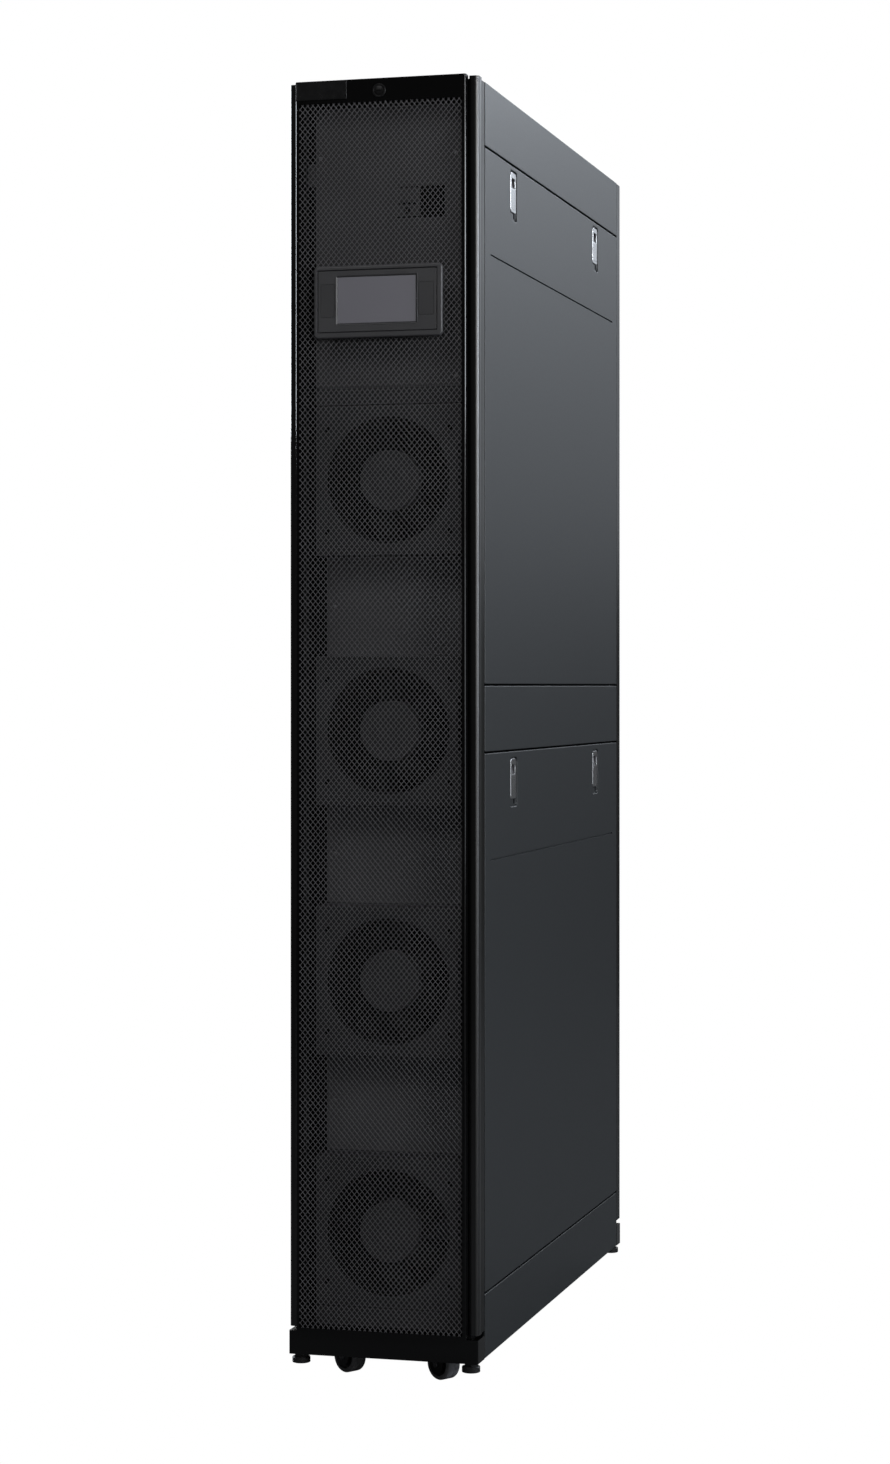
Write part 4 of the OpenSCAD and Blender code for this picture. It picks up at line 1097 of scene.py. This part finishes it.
finish_obj("coil_tubes", bm, "cabinet", coil_shade_black, "coil_aluminium", weld=0, angle=50)

cad_look("supply_pipe", copper)
cad_look("return_pipe", copper)
cad_look("control_valve", brass, 0.6)
cad_look("valve_actuator", actuator_mat, 1.0)
cad_look("drain_pan", zinc, 0.3)
cad_look("condensate_pump", fan_black, 0.8)

# collars where the pipes pass the saddles, and the valve's union nuts
bm = bmesh.new()
for y, z0 in ((330, 1924), (200, 1924)):
    lathe(bm, [(11.0, 0), (15.5, 0), (16.5, 1), (16.5, 11), (15.5, 12), (11.0, 12)], (-108, y, z0 - 14), (0, 0, 1), 6)
finish_obj("pipe_nuts", bm, "cabinet", brass, "valve_brass", weld=0)

# ------------------------------------------------------------------ filters
bm = bmesh.new()
for z0 in (81.1, 1015.9):
    z1 = z0 + 934.4
    for b in ((-128.5, -104, 452.3, 482.7, z0, z1), (104, 128.5, 452.3, 482.7, z0, z1), (-104, 104, 452.3, 482.7, z0, z0 + 14), (-104, 104, 452.3, 482.7, z1 - 14, z1)):
        box_bm(bm, *b)
card = finish_obj("filter_frames", bm, "cabinet", card_mat, "filter_media", replaces=("air_filters",), weld=0)
bevel_mod(card, 0.8, 2)
bm = bmesh.new()
for z0 in (81.1, 1015.9):
    za, zb = z0 + 14, z0 + 920.4
    pts = []
    m = 52
    for i in range(m + 1):
        x = -104 + 208 * i / m
        pts.append((x, 456.5 if i % 2 else 478.5))
    rows_ = [za, zb]
    a_ = [[bm.verts.new((x * MM, (y + off) * MM, z * MM)) for x, y in pts] for z in rows_ for off in (0.0, 1.1)]
    lo0, lo1, hi0, hi1 = a_
    for i in range(m):
        bm.faces.new((lo0[i], lo0[i + 1], hi0[i + 1], hi0[i]))
        bm.faces.new((lo1[i + 1], lo1[i], hi1[i], hi1[i + 1]))
        bm.faces.new((lo0[i + 1], lo0[i], lo1[i], lo1[i + 1]))
        bm.faces.new((hi0[i], hi0[i + 1], hi1[i + 1], hi1[i]))
    for i in (0, m):
        bm.faces.new((lo0[i], hi0[i], hi1[i], lo1[i]) if i == 0 else (lo0[i], lo1[i], hi1[i], hi0[i]))
bmesh.ops.recalc_face_normals(bm, faces=bm.faces)
finish_obj("filter_pleats", bm, "cabinet", filter_mat, "filter_media", weld=0, angle=20)

# ------------------------------------------------------------------ casters and feet
for side, sx in (("left", -1), ("right", 1)):
    for end, sy in (("front", -1), ("rear", 1)):
        tag = f"{end}_{side}"
        cad_look(f"caster_yoke_{tag}", caster_mat, 0.5)
        a = math.radians(-32 + (0 if sx > 0 else 180))
        ux, uy = math.cos(a), math.sin(a)
        org = (sx * 67 + 12 * ux, sy * 449 + 12 * uy, 25)
        ax = (uy, -ux, 0)
        bm = bmesh.new()
        # rubber tread with rounded shoulders
        prof = [(18.6, -12.5)]
        for i in range(7):
            t = math.pi / 2 * i / 6
            prof.append((25 - 3.2 * (1 - math.sin(t)), -12.5 + 3.2 * (1 - math.cos(t))))
        prof += [(25.0, -1.2), (24.6, -0.6), (24.6, 0.6), (25.0, 1.2)]
        for i in range(7):
            t = math.pi / 2 * (1 - i / 6)
            prof.append((25 - 3.2 * (1 - math.sin(t)), 12.5 - 3.2 * (1 - math.cos(t))))
        prof += [(18.6, 12.5), (18.6, -12.5)]
        lathe(bm, prof, org, ax, 72)
        bmesh.ops.remove_doubles(bm, verts=bm.verts, dist=0.000005)
        bmesh.ops.recalc_face_normals(bm, faces=bm.faces)
        finish_obj(f"wheel_{tag}_tread", bm, f"wheel_{tag}", tread_mat, "wheel_rubber", replaces=(f"caster_wheel_{tag}",), weld=0)
        bm = bmesh.new()
        prof = [(3.1, -13.0), (7.6, -13.0), (8.0, -12.6), (8.0, -11.0), (17.2, -11.0), (18.5, -12.2), (18.7, -12.2), (18.7, 12.2), (18.5, 12.2), (17.2, 11.0), (8.0, 11.0),
                (8.0, 12.6), (7.6, 13.0), (3.1, 13.0)]
        lathe(bm, prof, org, ax, 64, close=True)
        bmesh.ops.recalc_face_normals(bm, faces=bm.faces)
        finish_obj(f"wheel_{tag}_hub", bm, f"wheel_{tag}", caster_mat, "caster_metal", weld=0)
        # axle bolt: head on one side, nut on the other, outside the cheeks
        bm = bmesh.new()
        lathe(bm, [(0, 0), (5.6, 0), (5.6, 2.2), (5.0, 2.9), (0, 3.0)], (org[0] + ax[0] * 16, org[1] + ax[1] * 16, org[2]), ax, 6)
        lathe(bm, [(0, 0), (5.0, 0), (5.0, 1.6), (4.0, 2.3), (0, 2.5)], (org[0] - ax[0] * 16, org[1] - ax[1] * 16, org[2]), (-ax[0], -ax[1], 0), 32)
        bmesh.ops.recalc_face_normals(bm, faces=bm.faces)
        finish_obj(f"caster_{tag}_bolt", bm, f"caster_{tag}", screw_mat, "caster_metal", weld=0)

        # levelling foot: ribbed pad, hexagon and threaded stud
        fx_, fy_ = sx * 135, sy * 510
        bm = bmesh.new()
        prof = [(0.0, 26.0), (12.6, 26.0), (13.4, 26.3), (14.0, 27.0)]
        for kk in range(3):
            zb_ = 27.6 + kk * 2.2
            prof += [(14.0, zb_), (14.0, zb_ + 1.0), (13.3, zb_ + 1.3), (13.3, zb_ + 1.9)]
        prof += [(14.0, 34.2), (13.2, 35.0), (0.0, 35.0)]
        lathe(bm, prof, (fx_, fy_, 0), (0, 0, 1), 64)
        lathe(bm, [(0.0, 35.0), (10.2, 35.0), (11.0, 35.5), (11.0, 40.5), (10.2, 41.0), (0.0, 41.0)], (fx_, fy_, 0), (0, 0, 1), 6)
        prof = [(0.0, 41.0)]
        zz = 41.0
        while zz < 87.0:
            prof += [(4.3, zz), (5.0, zz + 0.6), (5.0, zz + 0.8), (4.3, zz + 1.4)]
            zz += 1.5
        prof += [(4.2, 87.4), (3.8, 88.0), (0.0, 88.0)]
        lathe(bm, prof, (fx_, fy_, 0), (0, 0, 1), 32)
        bmesh.ops.recalc_face_normals(bm, faces=bm.faces)
        finish_obj(f"foot_{tag}_body", bm, f"foot_{tag}", foot_mat, "foot_black", replaces=(f"foot_{tag}",), weld=0, angle=30)

# ------------------------------------------------------------------ floor, light and world
bpy.ops.mesh.primitive_plane_add(size=14, location=(0, 0, -0.0005))
floor = bpy.context.object
floor.name = "floor"
fm = bpy.data.materials.new("floor")
fm.use_nodes = True
t = fm.node_tree
t.nodes.clear()
out = t.nodes.new("ShaderNodeOutputMaterial")
mix = t.nodes.new("ShaderNodeMixShader")
lp = t.nodes.new("ShaderNodeLightPath")
em = t.nodes.new("ShaderNodeEmission")
em.inputs["Color"].default_value = (1, 1, 1, 1)
em.inputs["Strength"].default_value = 1.0
df = t.nodes.new("ShaderNodeBsdfDiffuse")
df.inputs["Color"].default_value = (0.10, 0.10, 0.10, 1)
t.links.new(lp.outputs["Is Camera Ray"], mix.inputs["Fac"])
t.links.new(df.outputs["BSDF"], mix.inputs[1])
t.links.new(em.outputs["Emission"], mix.inputs[2])
t.links.new(mix.outputs["Shader"], out.inputs["Surface"])
floor.data.materials.append(fm)

world = bpy.data.worlds.new("world")
scene.world = world
world.use_nodes = True
t = world.node_tree
t.nodes.clear()
out = t.nodes.new("ShaderNodeOutputWorld")
mix = t.nodes.new("ShaderNodeMixShader")
lp = t.nodes.new("ShaderNodeLightPath")
dark = t.nodes.new("ShaderNodeBackground")
dark.inputs["Color"].default_value = (1, 1, 1, 1)
WORLD = 0.057
dark.inputs["Strength"].default_value = WORLD
white = t.nodes.new("ShaderNodeBackground")
white.inputs["Color"].default_value = (1, 1, 1, 1)
white.inputs["Strength"].default_value = 1.0
t.links.new(lp.outputs["Is Camera Ray"], mix.inputs["Fac"])
t.links.new(dark.outputs["Background"], mix.inputs[1])
t.links.new(white.outputs["Background"], mix.inputs[2])
t.links.new(mix.outputs["Shader"], out.inputs["Surface"])


def area(name, loc, target, w, h, power, colour=(1.0, 1.0, 1.0)):
    d = bpy.data.lights.new(name, "AREA")
    d.shape = "RECTANGLE"
    d.size = w
    d.size_y = h
    d.energy = power
    d.color = colour
    o = bpy.data.objects.new(name, d)
    o.location = loc
    o.rotation_euler = (Vector(target) - Vector(loc)).to_track_quat("-Z", "Y").to_euler()
    scene.collection.objects.link(o)
    return o


# LIGHTS BEGIN
COOL = (0.89, 0.95, 1.03)
area("rear_high", (2.6, 4.8, 4.4), (0.15, 0.0, 1.6), 2.4, 2.0, 146, COOL)
area("rear_mid", (2.4, 5.6, 3.2), (0.15, 0.0, 1.7), 2.4, 1.4, 7.4, COOL)
area("rear_low", (2.3, 6.2, 2.3), (0.15, 0.0, 1.5), 2.4, 1.6, 7.9, COOL)
area("right_mid", (4.0, -0.6, 2.2), (0.15, 0.0, 1.6), 2.4, 0.8, 135, COOL)
area("right_low", (4.1, -0.6, 1.0), (0.15, 0.0, 1.0), 2.4, 0.9, 20, COOL)
area("front_right_high", (3.1, -3.2, 3.0), (0.15, -0.5, 2.4), 1.8, 1.6, 84)
area("front_right_mid", (3.1, -3.2, 1.6), (0.15, -0.5, 1.4), 1.8, 1.2, 23)
area("front_right_low", (3.1, -3.2, 0.5), (0.15, -0.5, 0.6), 1.8, 1.0, 5)
area("front_far", (-1.5, -6.5, 6.0), (0.0, -0.5, 1.0), 3.0, 2.2, 128)
area("left_fill", (-3.6, 2.8, 3.0), (-0.15, 0.2, 1.1), 2.4, 2.4, 240, COOL)
area("back_fill", (-1.2, 5.6, 3.2), (0.0, 0.5, 1.0), 2.6, 2.4, 75)
